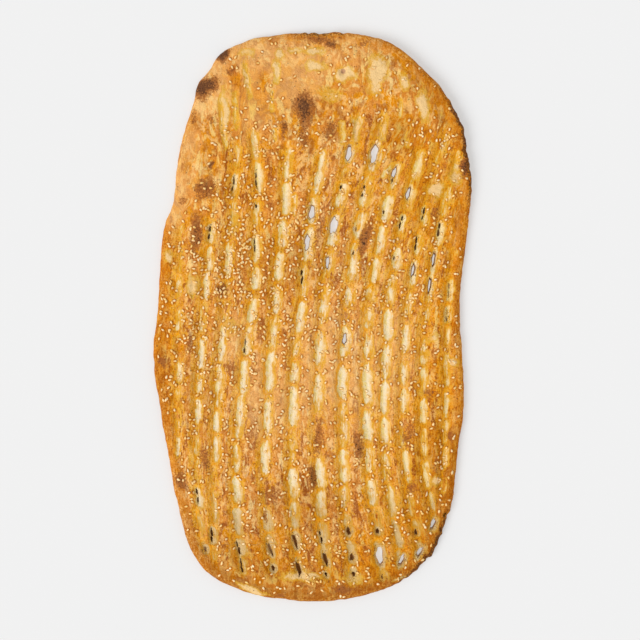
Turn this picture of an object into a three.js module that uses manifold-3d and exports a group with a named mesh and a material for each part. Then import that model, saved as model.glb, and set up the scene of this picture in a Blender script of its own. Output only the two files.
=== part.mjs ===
// A barbari bread: one long, flat leavened loaf. The dough is pressed into furrows that run along it, with
// soft ridges between them, and docked in dashes down each furrow, so deep that many docks tear through.
//
// Millimetres. X runs across the loaf, +Y along it towards the end that is pressed least, +Z up.
// The origin is the middle of the underside, which lies flat on the plane z = 0.

import * as THREE from "three";
import { mergeVertices } from "three/addons/utils/BufferGeometryUtils.js";
import Module from "manifold-3d";

// ---- Driving dimensions ----

// Every size and place below is drawn for a loaf DRAWN_LENGTH long. The finished solid is brought to LENGTH, all
// of it by the same share.
const LENGTH = 500;
const DRAWN_LENGTH = 570;
const DRAWN_WIDTH = 320;
const CREST_HEIGHT = 13; // ridge crests over the underside, away from the rim
const WAIST_HEIGHT = 4.5; // height of the loaf's widest line
const UNDERCUT = 6; // how far in from the widest line the underside starts
const RIM_HEIGHT = 10; // top of the rounded rim
const RIM_ROUND = 9; // how far in from the widest line the rim is highest
const CREST_START = 24; // how far in from it the crests reach their full height

const FURROW_DEPTH = 3.4; // of a bridge between two docks, below the crests
const FURROW_HALF = 9; // half width of a furrow at the crests
const FLOOR_HALF = 2.7; // half width of a furrow's floor
const FLOOR_SHARE = 0.3; // the floor's greatest half width, as a share of the gap to the next furrow
const DOCK_DEPTH = 3.4; // of a dock, below the bridges
const DOCK_WALL = 2; // width of its sloping sides
const BRIDGE_HALF = 7; // from the middle of a bridge to the full depth of a dock
const FADE_LENGTH = 16; // over which a furrow rises out at its two ends

const CORNER_LIFT = 5; // the head's right corner curls up off the table by this
const LIFT_FROM = 155; // distance of the curl's start from the origin, along its diagonal
const LIFT_REACH = 110;

const LINE_POINTS = 110; // mesh points round the loaf
const UNDERSIDE_RINGS = [0.45, 0.72]; // rings under the loaf, as shares of its outline
const UNDERCUT_STEPS = 2;
const RIM_STEPS = 3;
const RIM_ROOM = 2; // how far the rimmed body rises past the crests before the furrows are cut in
const BLOCK_HALF = 190; // half width of the block that carries the furrowed top
const BLOCK_LENGTH = 590;
const BLOCK_ROWS = 78;
const TEAR_STEPS = 4; // sides of half a tear
const PIT_FLOOR = 3.4; // height of the bottom of a tear that stops short of the underside
const THROUGH = -20; // and of the foot of a cutter that goes right through
const CUTTER_HEIGHT = 40;

// The widest line, clockwise from the head. It is fitted to DRAWN_LENGTH and DRAWN_WIDTH afterwards.
const OUTLINE = [
  [20, 284], [58, 280], [90, 266], [128, 229], [148, 196], [155, 167], [160, 133], [156, 92],
  [151, 46], [148, 5], [151, -48], [152, -90], [146, -132], [141, -180], [130, -217], [118, -240],
  [89, -265], [46, -281], [-5, -285], [-55, -279], [-98, -262], [-121, -235], [-134, -195], [-143, -150],
  [-154, -86], [-160, -36], [-155, 15], [-150, 84], [-140, 114], [-137, 147], [-130, 182], [-120, 212],
  [-116, 232], [-104, 246], [-93, 262], [-72, 274], [-38, 282],
];

// Each furrow, from left to right. Its route is mid + lean t + bow t^2 + sway t^3, with t = y / 100. Its
// bridges are where the dough stands up before, between and after its docks, from the head to the foot.
const FURROWS = [
  {
    mid: -133, lean: 2, bow: 0.5, sway: 0.5,
    bridges: [95, 70, 43, 12, -15, -42, -68, -88, -116, -145],
  },
  {
    mid: -108.5, lean: 9, bow: 0.5, sway: -1.5,
    bridges: [100, 72, 46, 17, -18, -52, -79, -109, -140, -167, -193, -221, -240],
  },
  {
    mid: -88, lean: 8.5, bow: 0.5, sway: -0.5,
    bridges: [174, 147, 117, 78, 39, 18, -7, -46, -91, -117, -146, -170, -207, -229, -246],
  },
  {
    mid: -62.4, lean: 11.4, bow: -1.5, sway: -2,
    bridges: [189, 156, 121, 87, 53, 24, -8, -41, -78, -124, -157, -188, -219, -241, -257],
  },
  {
    mid: -38.5, lean: 9.5, bow: 1, sway: -1,
    bridges: [170, 135, 101, 65, 34, 2, -32, -77, -122, -159, -188, -215, -241, -259],
  },
  {
    mid: -13.5, lean: 10.5, bow: 3, sway: -0.5,
    bridges: [168, 122, 91, 54, 18, -18, -41, -68, -110, -150, -183, -213, -236, -259],
  },
  {
    mid: 9.5, lean: 9.5, bow: 4.5, sway: 0,
    bridges: [205, 176, 152, 137, 105, 70, 35, -10, -53, -97, -141, -173, -203, -225, -250, -264],
  },
  {
    mid: 33.8, lean: 9.3, bow: 4.7, sway: 0,
    bridges: [206, 175, 143, 107, 74, 34, 7, -5, -45, -84, -132, -167, -194, -221, -248, -268],
  },
  {
    mid: 56.5, lean: 8, bow: 6.5, sway: 0.5,
    bridges: [158, 124, 93, 62, 32, 13, -12, -45, -91, -126, -159, -190, -222, -250, -266],
  },
  {
    mid: 75.5, lean: 10.5, bow: 6, sway: -0.3,
    bridges: [170, 133, 102, 71, 45, 10, -25, -63, -98, -132, -165, -200, -232, -252],
  },
  {
    mid: 94.5, lean: 11, bow: 6.5, sway: -0.3,
    bridges: [186, 150, 113, 87, 58, 26, -6, -39, -70, -100, -131, -170, -200, -222, -244],
  },
  {
    mid: 114, lean: 11, bow: 6.1, sway: -0.5,
    bridges: [172, 133, 97, 70, 41, 12, -18, -50, -80, -110, -142, -174, -196, -218],
  },
  {
    mid: 136.5, lean: 7, bow: 4.5, sway: 1.5,
    bridges: [70, 42, 13, -6, -33, -72, -101, -128, -158, -180],
  },
];
const ROUTE_ENDS = [-262, 200]; // beyond these the columns of the mesh run straight on

// Where the docks tear: a length and a width for each kind, how far left of its furrow's middle it lies, the
// height that it reaches down to, and [furrow, y] for each tear. A third number is how many degrees it leans
// to the right of its furrow.
const TEARS = [
  { length: 18, width: 7.4, left: 0.4, foot: THROUGH, at: [[7, 164], [6, 92], [8, -239]] },
  { length: 16, width: 5.8, left: 0.6, foot: THROUGH, at: [[6, 164], [5, 105], [5, 75]] },
  {
    length: 12, width: 4.6, left: 0.8, foot: THROUGH,
    at: [[6, 55], [8, 145], [7, -22], [9, 124], [9, -243, 40], [10, -235, 45], [11, -207, 36]],
  },
  { length: 15, width: 4.2, left: 0.8, foot: THROUGH, at: [[10, 47], [11, 58], [11, 32]] },
  {
    length: 14, width: 4.2, left: 0.4, foot: PIT_FLOOR,
    at: [[4, -232, -12], [5, -224, -8], [5, -251, -8], [6, -242, -6]],
  },
  { length: 7.5, width: 4.6, left: 0, foot: PIT_FLOOR, at: [[7, -214], [7, -240]] },
  {
    length: 5.5, width: 3.6, left: 0, foot: PIT_FLOOR,
    at: [[7, -257], [8, -214], [10, -215], [1, -232], [4, -251]],
  },
  {
    length: 14, width: 2.2, left: 1.8, foot: PIT_FLOOR,
    at: [
      [2, 133], [3, 137], [3, 72], [3, -29], [1, 85], [5, 40], [10, 73], [11, 87], [12, 27], [12, 2],
      [2, -219], [3, -230], [3, -249], [6, -219], [1, -179], [10, 103], [9, 95],
    ],
  },
];

// ---- Curves and heights ----

const smooth = (from, to, value) => THREE.MathUtils.smoothstep(value, from, to);
const furrowX = (furrow, y) => {
  const t = y / 100;
  return furrow.mid + t * (furrow.lean + t * (furrow.bow + t * furrow.sway));
};
const furrowSlope = (furrow, y) => {
  const t = y / 100;
  return (furrow.lean + t * (2 * furrow.bow + 3 * t * furrow.sway)) / 100;
};

// The head's right corner curls up a little off the table.
const liftAt = (x, y) => CORNER_LIFT * smooth(0, LIFT_REACH, (x + y) / Math.SQRT2 - LIFT_FROM);

// 1 along a dock's floor and 0 on the bridges at its two ends.
function dockShare(furrow, y) {
  const toBridge = Math.min(...furrow.bridges.map((bridge) => Math.abs(bridge - y)));
  return smooth(0, BRIDGE_HALF, toBridge);
}

// 1 along a furrow and 0 past its two ends.
const furrowShare = (furrow, y) =>
  smooth(0, FADE_LENGTH, furrow.bridges[0] + FADE_LENGTH / 2 - y) *
  smooth(0, FADE_LENGTH, y - furrow.bridges.at(-1) + FADE_LENGTH / 2);

// The loaf's top, with its ridges, furrows and docks, before the rim rounds it over.
function topAt(x, y) {
  let z = CREST_HEIGHT;
  for (const furrow of FURROWS) {
    const off = Math.abs(x - furrowX(furrow, y));
    if (off > FURROW_HALF) continue;
    const furrowed = FURROW_DEPTH * (1 - smooth(FLOOR_HALF, FURROW_HALF, off));
    const docked = DOCK_DEPTH * (1 - smooth(FLOOR_HALF, FLOOR_HALF + DOCK_WALL, off));
    z -= furrowShare(furrow, y) * (furrowed + docked * dockShare(furrow, y));
  }
  return z + liftAt(x, y);
}

// Points evenly spaced round the widest line, fitted to DRAWN_LENGTH and DRAWN_WIDTH.
function widestLine(count) {
  const knots = OUTLINE.map(([x, y]) => new THREE.Vector3(x, y, 0));
  const curve = new THREE.CatmullRomCurve3(knots, true, "centripetal");
  const points = curve.getSpacedPoints(count).slice(0, count);
  const box = new THREE.Box3().setFromPoints(points);
  const middle = box.getCenter(new THREE.Vector3());
  const size = box.getSize(new THREE.Vector3());
  const stretch = new THREE.Vector2(DRAWN_WIDTH / size.x, DRAWN_LENGTH / size.y);
  return points.map(({ x, y }) => new THREE.Vector2(x - middle.x, y - middle.y).multiply(stretch));
}

// A copy of a closed line, each point moved inwards square to the line.
function inset(line, distance) {
  return line.map((point, i) => {
    const before = line[(i + line.length - 1) % line.length];
    const after = line[(i + 1) % line.length];
    const along = after.clone().sub(before).normalize();
    return new THREE.Vector2(point.x + along.y * distance, point.y - along.x * distance);
  });
}

// ---- Solids ----

// A closed mesh as a manifold-3d solid.
function solidOf(wasm, geometry) {
  const bare = new THREE.BufferGeometry().setAttribute("position", geometry.getAttribute("position"));
  bare.setIndex(geometry.index);
  const merged = mergeVertices(bare, 1e-3);
  const vertProperties = merged.getAttribute("position").array;
  const triVerts = new Uint32Array(merged.index.array);
  return new wasm.Manifold(new wasm.Mesh({ numProp: 3, vertProperties, triVerts }));
}

// A manifold-3d solid as a geometry.
function geometryOf(solid) {
  const mesh = solid.getMesh();
  const geometry = new THREE.BufferGeometry();
  geometry.setAttribute("position", new THREE.BufferAttribute(new Float32Array(mesh.vertProperties), 3));
  geometry.setIndex(new THREE.BufferAttribute(new Uint32Array(mesh.triVerts), 1));
  return geometry;
}

// A closed body through rings of equal count, each clockwise from above. They lead from the underside
// outwards, up and in over the top, and a point closes each end.
function loft(rings, capPoints) {
  const count = rings[0].length;
  const positions = rings.flat().concat(capPoints);
  const faces = [];
  for (let i = 0; i < count; i++) {
    const next = (i + 1) % count;
    for (let r = 0; r + 1 < rings.length; r++) {
      const [low, high] = [r * count, (r + 1) * count];
      faces.push(low + i, high + next, low + next, low + i, high + i, high + next);
    }
    const last = (rings.length - 1) * count;
    faces.push(i, next, rings.length * count);
    faces.push(last + i, rings.length * count + 1, last + next);
  }
  const geometry = new THREE.BufferGeometry().setFromPoints(positions);
  geometry.setIndex(faces);
  return geometry;
}

// The loaf without its furrows: a flat underside, an undercut up to the widest line, a rounded rim, and room
// above for the ridges.
function rimBody() {
  const line = widestLine(LINE_POINTS);
  const lifted = (points, z) => points.map(({ x, y }) => new THREE.Vector3(x, y, z + liftAt(x, y)));
  const ring = (distance, z) => lifted(inset(line, distance), z);
  const shrunk = (share) => line.map((point) => point.clone().multiplyScalar(share));
  const rings = UNDERSIDE_RINGS.map((share) => lifted(shrunk(share), 0));
  for (let i = 0; i <= UNDERCUT_STEPS; i++) {
    const angle = ((i / UNDERCUT_STEPS) * Math.PI) / 2;
    rings.push(ring(UNDERCUT * (1 - Math.sin(angle)), WAIST_HEIGHT * (1 - Math.cos(angle))));
  }
  for (let i = 1; i <= RIM_STEPS; i++) {
    const angle = ((i / RIM_STEPS) * Math.PI) / 2;
    const z = THREE.MathUtils.lerp(WAIST_HEIGHT, RIM_HEIGHT, Math.sin(angle));
    rings.push(ring(RIM_ROUND * (1 - Math.cos(angle)), z));
  }
  rings.push(ring(CREST_START, CREST_HEIGHT + RIM_ROOM));
  const top = CREST_HEIGHT + CORNER_LIFT + RIM_ROOM;
  return loft(rings, [new THREE.Vector3(0, 0, 0), new THREE.Vector3(0, 0, top)]);
}

// The columns of the furrowed top at one y, from left to right: each furrow's two floor edges, and the crest
// of each ridge halfway between its furrows.
function columnsAt(y) {
  const routes = FURROWS.map((furrow) => furrowX(furrow, THREE.MathUtils.clamp(y, ...ROUTE_ENDS)));
  const columns = [-BLOCK_HALF, routes[0] - FURROW_HALF, routes[0] - FLOOR_HALF];
  for (let i = 0; i + 1 < routes.length; i++) {
    const gap = routes[i + 1] - routes[i];
    const floor = Math.min(FLOOR_HALF, gap * FLOOR_SHARE);
    columns.push(routes[i] + floor, routes[i] + gap / 2, routes[i + 1] - floor);
  }
  const last = routes.at(-1);
  return columns.concat(last + FLOOR_HALF, last + FURROW_HALF, BLOCK_HALF);
}

// A block whose top is the loaf's top, furrows and all.
function furrowedBlock() {
  const gaps = columnsAt(0).length - 1;
  const block = new THREE.BoxGeometry(1, 1, 1, gaps, BLOCK_ROWS, 1);
  const position = block.getAttribute("position");
  for (let i = 0; i < position.count; i++) {
    const y = position.getY(i) * BLOCK_LENGTH;
    const x = columnsAt(y)[Math.round((position.getX(i) + 0.5) * gaps)];
    position.setXYZ(i, x, y, position.getZ(i) > 0 ? topAt(x, y) : -CREST_HEIGHT);
  }
  return block;
}

// The cutter of one tear: a slim oval prism from its foot up, turned by heading from +Y towards +X.
function tearCutter({ length, width, foot }, x, y, heading) {
  const oval = new THREE.Shape().absellipse(0, 0, width / 2, length / 2, 0, 2 * Math.PI);
  const options = { depth: CUTTER_HEIGHT, curveSegments: TEAR_STEPS, bevelEnabled: false };
  const cutter = new THREE.ExtrudeGeometry(oval, options);
  return cutter.translate(0, 0, foot).rotateZ(-heading).translate(x, y, 0);
}

// The cutters of all the tears, each turned along its furrow and then by its own lean.
function tearCutters() {
  return TEARS.flatMap((tear) =>
    tear.at.map(([index, y, lean = 0]) => {
      const furrow = FURROWS[index];
      const heading = Math.atan(furrowSlope(furrow, y)) + THREE.MathUtils.degToRad(lean);
      return tearCutter(tear, furrowX(furrow, y) - tear.left, y, heading);
    }),
  );
}

async function breadGeometry() {
  const wasm = await Module();
  wasm.setup();
  let bread = solidOf(wasm, rimBody()).intersect(solidOf(wasm, furrowedBlock()));
  for (const cutter of tearCutters()) {
    bread = bread.subtract(solidOf(wasm, cutter));
  }
  const share = LENGTH / DRAWN_LENGTH;
  return geometryOf(bread).scale(share, share, share);
}

// ---- The bread ----

const crust = new THREE.MeshStandardMaterial({ color: 0xd9984a, roughness: 0.62, metalness: 0 });
const bread = new THREE.Mesh(await breadGeometry(), crust);
bread.name = "bread";

const loaf = new THREE.Group();
loaf.add(bread);

export default loaf;
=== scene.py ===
"""A barbari bread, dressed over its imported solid.

The loaf is one closed surface: a top pressed into lengthwise furrows and docked in dashes, a rounded rim, and
a flat underside that lifts at one corner, with the torn docks cut out of it. Sesame seeds lie on the crust as
one joined mesh.

Lengths are in millimetres as drawn for a loaf 570 mm long, with x across it, +y towards its head and +z up.
Where a mesh is made, they become metres and are brought to the finished length of 500 mm, by the same share.
"""

import logging
import math
from dataclasses import dataclass, field, replace
from enum import Enum

import bpy
import numpy as np
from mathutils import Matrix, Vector


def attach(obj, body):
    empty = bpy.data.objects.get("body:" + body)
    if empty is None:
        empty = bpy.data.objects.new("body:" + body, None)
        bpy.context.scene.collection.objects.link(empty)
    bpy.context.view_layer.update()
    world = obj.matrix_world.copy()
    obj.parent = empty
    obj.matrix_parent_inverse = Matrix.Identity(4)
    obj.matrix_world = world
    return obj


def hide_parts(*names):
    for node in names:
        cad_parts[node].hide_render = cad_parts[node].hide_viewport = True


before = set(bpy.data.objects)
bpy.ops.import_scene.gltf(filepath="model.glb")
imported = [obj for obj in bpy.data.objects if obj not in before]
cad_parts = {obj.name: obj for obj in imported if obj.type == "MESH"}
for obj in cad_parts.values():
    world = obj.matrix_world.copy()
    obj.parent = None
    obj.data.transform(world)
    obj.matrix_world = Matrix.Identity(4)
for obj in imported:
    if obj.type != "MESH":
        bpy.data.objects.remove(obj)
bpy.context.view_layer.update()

log = logging.getLogger("barbari")

LENGTH = 0.5  # the finished loaf, in metres
DRAWN_LENGTH = 570.0  # the length that every size and place below is drawn for, in millimetres
DRAWN_WIDTH = 320.0
MM = LENGTH / DRAWN_LENGTH  # metres for each drawn millimetre
AT_ONCE = 4096  # how many points are compared with many others in one go
Array = np.ndarray
Node = bpy.types.Node
Socket = bpy.types.NodeSocket


# ---- Sums that several pieces share ----


def smooth(low: float, high: float, value: Array) -> Array:
    """The cubic step 3t^2 - 2t^3, with t going from 0 at low to 1 at high.

    Args:
        low: the value at which the step starts.
        high: the value at which it ends; it may be below low, for a step down.
        value: where the step is read.

    Returns:
        The step, from 0 to 1.
    """
    t = np.clip((value - low) / (high - low), 0.0, 1.0)
    return t * t * (3.0 - 2.0 * t)


def scatter(*keys: Array) -> Array:
    """A repeatable random number for each tuple of whole numbers.

    The keys are folded together by odd multipliers and mixed by shifts, as an integer hash does.

    Args:
        keys: arrays of whole numbers, of one shape.

    Returns:
        Numbers from 0 to 1, of that shape.
    """
    value = np.zeros(np.shape(keys[0]), np.uint64)
    for key in keys:
        whole = np.asarray(key).astype(np.int64).astype(np.uint64)
        value = (value ^ (whole + np.uint64(0x9E3779B9))) * np.uint64(0x2545F4914F6CDD1D)
        value ^= value >> np.uint64(29)
    value = (value * np.uint64(0xBF58476D1CE4E5B9)) ^ (value >> np.uint64(31))
    return (value >> np.uint64(40)).astype(float) / float(1 << 24)


def nearest(x: Array, y: Array, others: Array) -> Array:
    """The distance from each point to the nearest of many others, some thousands of points at a time.

    Args:
        x: across the loaf.
        y: along it.
        others: one row of x and y for each of the others.

    Returns:
        The distances, in the shape of x.
    """
    flat_x, flat_y = np.ravel(x), np.ravel(y)
    best = np.empty(flat_x.size)
    for start in range(0, flat_x.size, AT_ONCE):
        part = slice(start, start + AT_ONCE)
        gaps = (flat_x[part, None] - others[None, :, 0]) ** 2 + (flat_y[part, None] - others[None, :, 1]) ** 2
        best[part] = np.sqrt(gaps.min(axis=1))
    return best.reshape(np.shape(x))


@dataclass(frozen=True)
class Grain:
    """Smooth random relief: value noise on a lattice, in octaves of half the size and half the height."""

    size: float
    seed: int
    octaves: int = 3

    def at(self, x: Array, y: Array, z: Array | float = 0.0) -> Array:
        """The relief at each point, about -1 to 1.

        Each octave blends the random values at the 8 corners of a lattice cell by cubic steps.

        Args:
            x: across the loaf.
            y: along it.
            z: up.

        Returns:
            The relief.
        """
        total = np.zeros(np.broadcast(x, y, z).shape)
        weight, size, sum_of_weights = 1.0, self.size, 0.0
        for octave in range(self.octaves):
            spots = [np.asarray(v) / size + 37.7 for v in (x, y, z)]
            cells = [np.floor(v) for v in spots]
            steps = [smooth(0.0, 1.0, v - c) for v, c in zip(spots, cells)]
            for corner in np.ndindex(2, 2, 2):
                share = 1.0
                for step, side in zip(steps, corner):
                    share = share * (step if side else 1.0 - step)
                keys = [np.broadcast_to(c + side, total.shape) for c, side in zip(cells, corner)]
                chance = scatter(*keys, np.full(total.shape, self.seed + octave))
                total += weight * share * (2.0 * chance - 1.0)
            sum_of_weights += weight
            weight, size = weight / 2.0, size / 2.0
        return total / sum_of_weights * 1.6


def new_object(name: str, points: Array, faces: list | Array) -> bpy.types.Object:
    """Makes a mesh object at the origin.

    Args:
        name: the object's name.
        points: one row of x, y, z for each vertex, in drawn millimetres.
        faces: the vertex numbers of each face, anticlockwise from outside.

    Returns:
        The object, linked to the scene and smooth shaded.
    """
    mesh = bpy.data.meshes.new(name)
    mesh.from_pydata((points * MM).tolist(), [], faces.tolist() if isinstance(faces, np.ndarray) else faces)
    mesh.polygons.foreach_set("use_smooth", np.ones(len(mesh.polygons), bool))
    mesh.update()
    piece = bpy.data.objects.new(name, mesh)
    bpy.context.scene.collection.objects.link(piece)
    return piece


def set_mask(mesh: bpy.types.Mesh, name: str, values: Array) -> None:
    """Stores one number for each vertex, for a material to read by name.

    Args:
        mesh: the mesh.
        name: the attribute's name.
        values: one number for each vertex.
    """
    attribute = mesh.attributes.get(name) or mesh.attributes.new(name, "FLOAT", "POINT")
    attribute.data.foreach_set("value", values.astype(np.float32))


# ---- The loaf's plan ----


@dataclass(frozen=True)
class Furrow:
    """One pressed furrow and its docks. Its route is mid + lean t + bow t^2 + sway t^3, with t = y / 100.

    bridges are the places of the unpressed strips before, between and after its docks, from head to foot.
    baked holds a digit for each dock, from 0, browned like the ridges, to 8, left pale. breadth scales its
    docks' width.
    """

    mid: float
    lean: float
    bow: float
    sway: float
    breadth: float
    bridges: tuple[int, ...]
    baked: str

    def route(self, y: Array) -> Array:
        """The furrow's middle at each y."""
        t = y / 100.0
        return self.mid + t * (self.lean + t * (self.bow + t * self.sway))

    def heading(self, y: float) -> float:
        """The angle between the furrow and +y, in radians, where it passes y."""
        t = y / 100.0
        return math.atan((self.lean + t * (2.0 * self.bow + 3.0 * t * self.sway)) / 100.0)

    def share(self, y: Array) -> Array:
        """1 along the furrow and 0 past its ends, by a cubic step at either end."""
        return smooth(-8.0, 10.0, self.bridges[0] - y) * smooth(-8.0, 10.0, y - self.bridges[-1])

    def docks(self, y: Array) -> tuple[Array, Array, Array, Array]:
        """The dock that each y falls in, between two bridges.

        Args:
            y: places along the loaf.

        Returns:
            Its number, middle, half length and paleness, up to 1.
        """
        places = np.array(self.bridges, float)
        number = np.clip(np.searchsorted(-places, -y) - 1, 0, len(places) - 2)
        pale = np.array([int(digit) for digit in self.baked])[number] / 8.0
        above, below = places[number], places[number + 1]
        return number, (above + below) / 2.0, (above - below) / 2.0, pale


FURROWS = (
    Furrow(-133, 2, 0.5, 0.5, 0.7, (95, 70, 43, 12, -15, -42, -68, -88, -116, -145), "445527735"),
    Furrow(
        -108.5, 9, 0.5, -1.5, 0.7,
        (100, 72, 46, 17, -18, -52, -79, -109, -140, -167, -193, -221, -240), "766365754654",
    ),
    Furrow(
        -88, 8.5, 0.5, -0.5, 0.85,
        (174, 147, 117, 78, 39, 18, -7, -46, -91, -117, -146, -170, -207, -229, -246), "55462477763653",
    ),
    Furrow(
        -62.4, 11.4, -1.5, -2, 0.9,
        (189, 156, 121, 87, 53, 24, -8, -41, -78, -124, -157, -188, -219, -241, -257), "67566767657773",
    ),
    Furrow(
        -38.5, 9.5, 1, -1, 1.0,
        (170, 135, 101, 65, 34, 2, -32, -77, -122, -159, -188, -215, -241, -259), "5877788881463",
    ),
    Furrow(
        -13.5, 10.5, 3, -0.5, 0.95,
        (168, 122, 91, 54, 18, -18, -41, -68, -110, -150, -183, -213, -236, -259), "7886755846657",
    ),
    Furrow(
        9.5, 9.5, 4.5, 0, 1.05,
        (205, 176, 152, 137, 105, 70, 35, -10, -53, -97, -141, -173, -203, -225, -250, -264),
        "475685568078652",
    ),
    Furrow(
        33.8, 9.3, 4.7, 0, 1.05,
        (206, 175, 143, 107, 74, 34, 7, -5, -45, -84, -132, -167, -194, -221, -248, -268), "387757278677456",
    ),
    Furrow(
        56.5, 8, 6.5, 0.5, 1.0,
        (158, 124, 93, 62, 32, 13, -12, -45, -91, -126, -159, -190, -222, -250, -266), "67865468877463",
    ),
    Furrow(
        75.5, 10.5, 6, -0.3, 0.95,
        (170, 133, 102, 71, 45, 10, -25, -63, -98, -132, -165, -200, -232, -252), "6656687876564",
    ),
    Furrow(
        94.5, 11, 6.5, -0.3, 0.8,
        (186, 150, 113, 87, 58, 26, -6, -39, -70, -100, -131, -170, -200, -222, -244), "42455678637455",
    ),
    Furrow(
        114, 11, 6.1, -0.5, 0.75,
        (172, 133, 97, 70, 41, 12, -18, -50, -80, -110, -142, -174, -196, -218), "4455647786655",
    ),
    Furrow(136.5, 7, 4.5, 1.5, 0.65, (70, 42, 13, -6, -33, -72, -101, -128, -158, -180), "244556653"),
)
FAR = 99.0  # further than any furrow is from its neighbours
ROUTE_ENDS = (-262.0, 200.0)  # beyond these the lanes between the furrows run straight on
LANE = 24.0  # the even width that each lane is stretched to, for the grain that follows the furrows


@dataclass(frozen=True)
class TearForm:
    """A torn dock's length, width, shift towards the furrow's left side, and how it opens.

    foot is the share of its width that is left at the table, or 0 for a tear that stops inside the loaf.
    pieces is the number of holes in its row, and flare how far it widens well above the crust.
    """

    length: float
    width: float
    shift: float
    foot: float
    pieces: int = 1
    flare: float = 1.8


class Tear(Enum):
    """The kinds of torn dock. The first four go through to the table, and the others stop inside the loaf."""

    GAPE = TearForm(18.0, 7.4, 0.4, 0.85)
    SPLIT = TearForm(16.0, 5.8, 0.6, 0.75)
    HOLE = TearForm(12.0, 4.6, 0.8, 0.65)
    GASH = TearForm(15.0, 4.2, 0.8, 0.45, 1, 1.2)
    RENT = TearForm(14.0, 4.2, 0.4, 0.0)
    PIT = TearForm(7.5, 4.6, 0.0, 0.0)
    DENT = TearForm(5.5, 3.6, 0.0, 0.0)
    SLIT = TearForm(14.0, 2.2, 1.8, 0.0, 2, 1.0)
    PRICK = TearForm(4.0, 2.2, 1.4, 0.0)


# For each kind of tear: the number of its furrow, its place along the loaf, and how many degrees it leans
# from the furrow, if it does.
TEARS = {
    Tear.GAPE: ((7, 164), (6, 92), (8, -239)),
    Tear.SPLIT: ((6, 164), (5, 105), (5, 75)),
    Tear.HOLE: ((6, 55), (8, 145), (7, -22), (9, 124), (9, -243, 40), (10, -235, 45), (11, -207, 36)),
    Tear.GASH: ((10, 47), (11, 58), (11, 32)),
    Tear.RENT: ((4, -232, -12), (5, -224, -8), (5, -251, -8), (6, -242, -6)),
    Tear.PIT: ((7, -214), (7, -240)),
    Tear.DENT: ((7, -257), (8, -214), (10, -215), (1, -232), (4, -251)),
    Tear.SLIT: (
        (2, 133), (3, 137), (3, 72), (3, -29), (1, 85), (5, 40), (10, 73), (11, 87), (12, 27), (12, 2),
        (2, -219), (3, -230), (3, -249), (6, -219), (1, -179), (10, 103), (9, 95),
    ),
    Tear.PRICK: (
        (6, -257), (6, 130), (7, 130), (7, 122), (7, 88), (7, 64), (8, 137), (8, 105), (9, 59), (3, 111),
        (8, -260),
    ),
}


@dataclass(frozen=True)
class Spot:
    """An oval mark: its middle, half width, half length, lean from +y in degrees, and strength."""

    x: float
    y: float
    across: float
    along: float
    lean: float = 0.0
    strength: float = 1.0

    def at(self, x: Array, y: Array) -> Array:
        """The mark's strength: a bell of the turned and scaled distance from its middle.

        Args:
            x: across the loaf.
            y: along it.

        Returns:
            The strength at each point.
        """
        turn = math.radians(self.lean)
        dx, dy = x - self.x, y - self.y
        over = (dx * math.cos(turn) - dy * math.sin(turn)) / self.across
        up = (dx * math.sin(turn) + dy * math.cos(turn)) / self.along
        return self.strength * np.exp(-((over * over + up * up) ** 1.25) * 0.65)


def spots(*rows: tuple[float, ...]) -> tuple[Spot, ...]:
    """Marks from rows of their fields, in the order of Spot's."""
    return tuple(Spot(*row) for row in rows)


def marks(many: tuple[Spot, ...], x: Array, y: Array, low: float = 0.0, high: float = 1.0) -> Array:
    """The strengths of many marks added up at each point, and kept from low to high."""
    return np.clip(sum(spot.at(x, y) for spot in many), low, high)


# Where the crust scorched.
SCORCHES = spots(
    (-107, 230, 8, 11, 40, 1.5), (-91, 262, 6.5, 6.5, 0, 1.7), (-83, 245, 5, 4, 0, 0.7),
    (-8, 212, 9, 11, 0, 1.25), (-4, 197, 7, 7, 0, 0.45), (-10, 180, 5, 14, 0, 0.7),
    (-29, 187, 3, 12, 0, 0.9), (19, 270, 5, 3, 0, 1.2), (8, 277, 18, 4, 0, 0.8), (50, 273, 10, 3, -12, 0.6),
    (17, 184, 6, 11, 25, 0.8), (-100, 195, 5, 5, 0, 0.6), (-120, 197, 4, 6, 0, 0.6),
    (-100, 152, 2.5, 4, 0, 1.3), (-106, 128, 11, 9, 0, 0.9), (-116, 84, 5, 18, 0, 0.95),
    (-91, 28, 6, 7, 0, 0.9), (-74, 35, 3, 3, 0, 0.7), (-66, 25, 3, 3, 0, 0.6), (52, 77, 4.5, 17, 18, 1.1),
    (8, 87, 3.5, 20, 14, 0.6), (6, -118, 5, 20, 0, 0.75), (46, -129, 4, 13, 0, 1.0),
    (0, -161, 3.5, 13, 0, 1.0), (-42, -178, 12, 9, 0, 0.6), (-108, -140, 5, 15, 0, 0.75),
    (-130, -165, 5, 11, -20, 0.9), (-150, -45, 4.5, 9, 0, 0.8), (-123, -28, 3.5, 12, 12, 0.7),
    (97, -118, 7, 13, 0, 0.65), (124, -148, 4, 10, 0, 0.6), (99, -171, 5.5, 8, 0, 0.8),
    (115, -77, 6, 5, 0, 0.6), (139, -118, 3.5, 6, 0, 0.7), (123, 104, 3.5, 8, 15, 0.7),
    (152, 148, 5, 8, 0, 1.2), (143, 202, 4, 10, -25, 1.0), (153, 175, 3, 5, 0, 1.1),
    (32, -271, 10, 4, 0, 0.8), (-32, -276, 7, 3, 0, 0.7), (107, 47, 3, 4, 10, 0.6),
    (-47, -200, 2, 7, 0, 0.9), (-132, 117, 6, 4, 0, 0.5),
)

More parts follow.
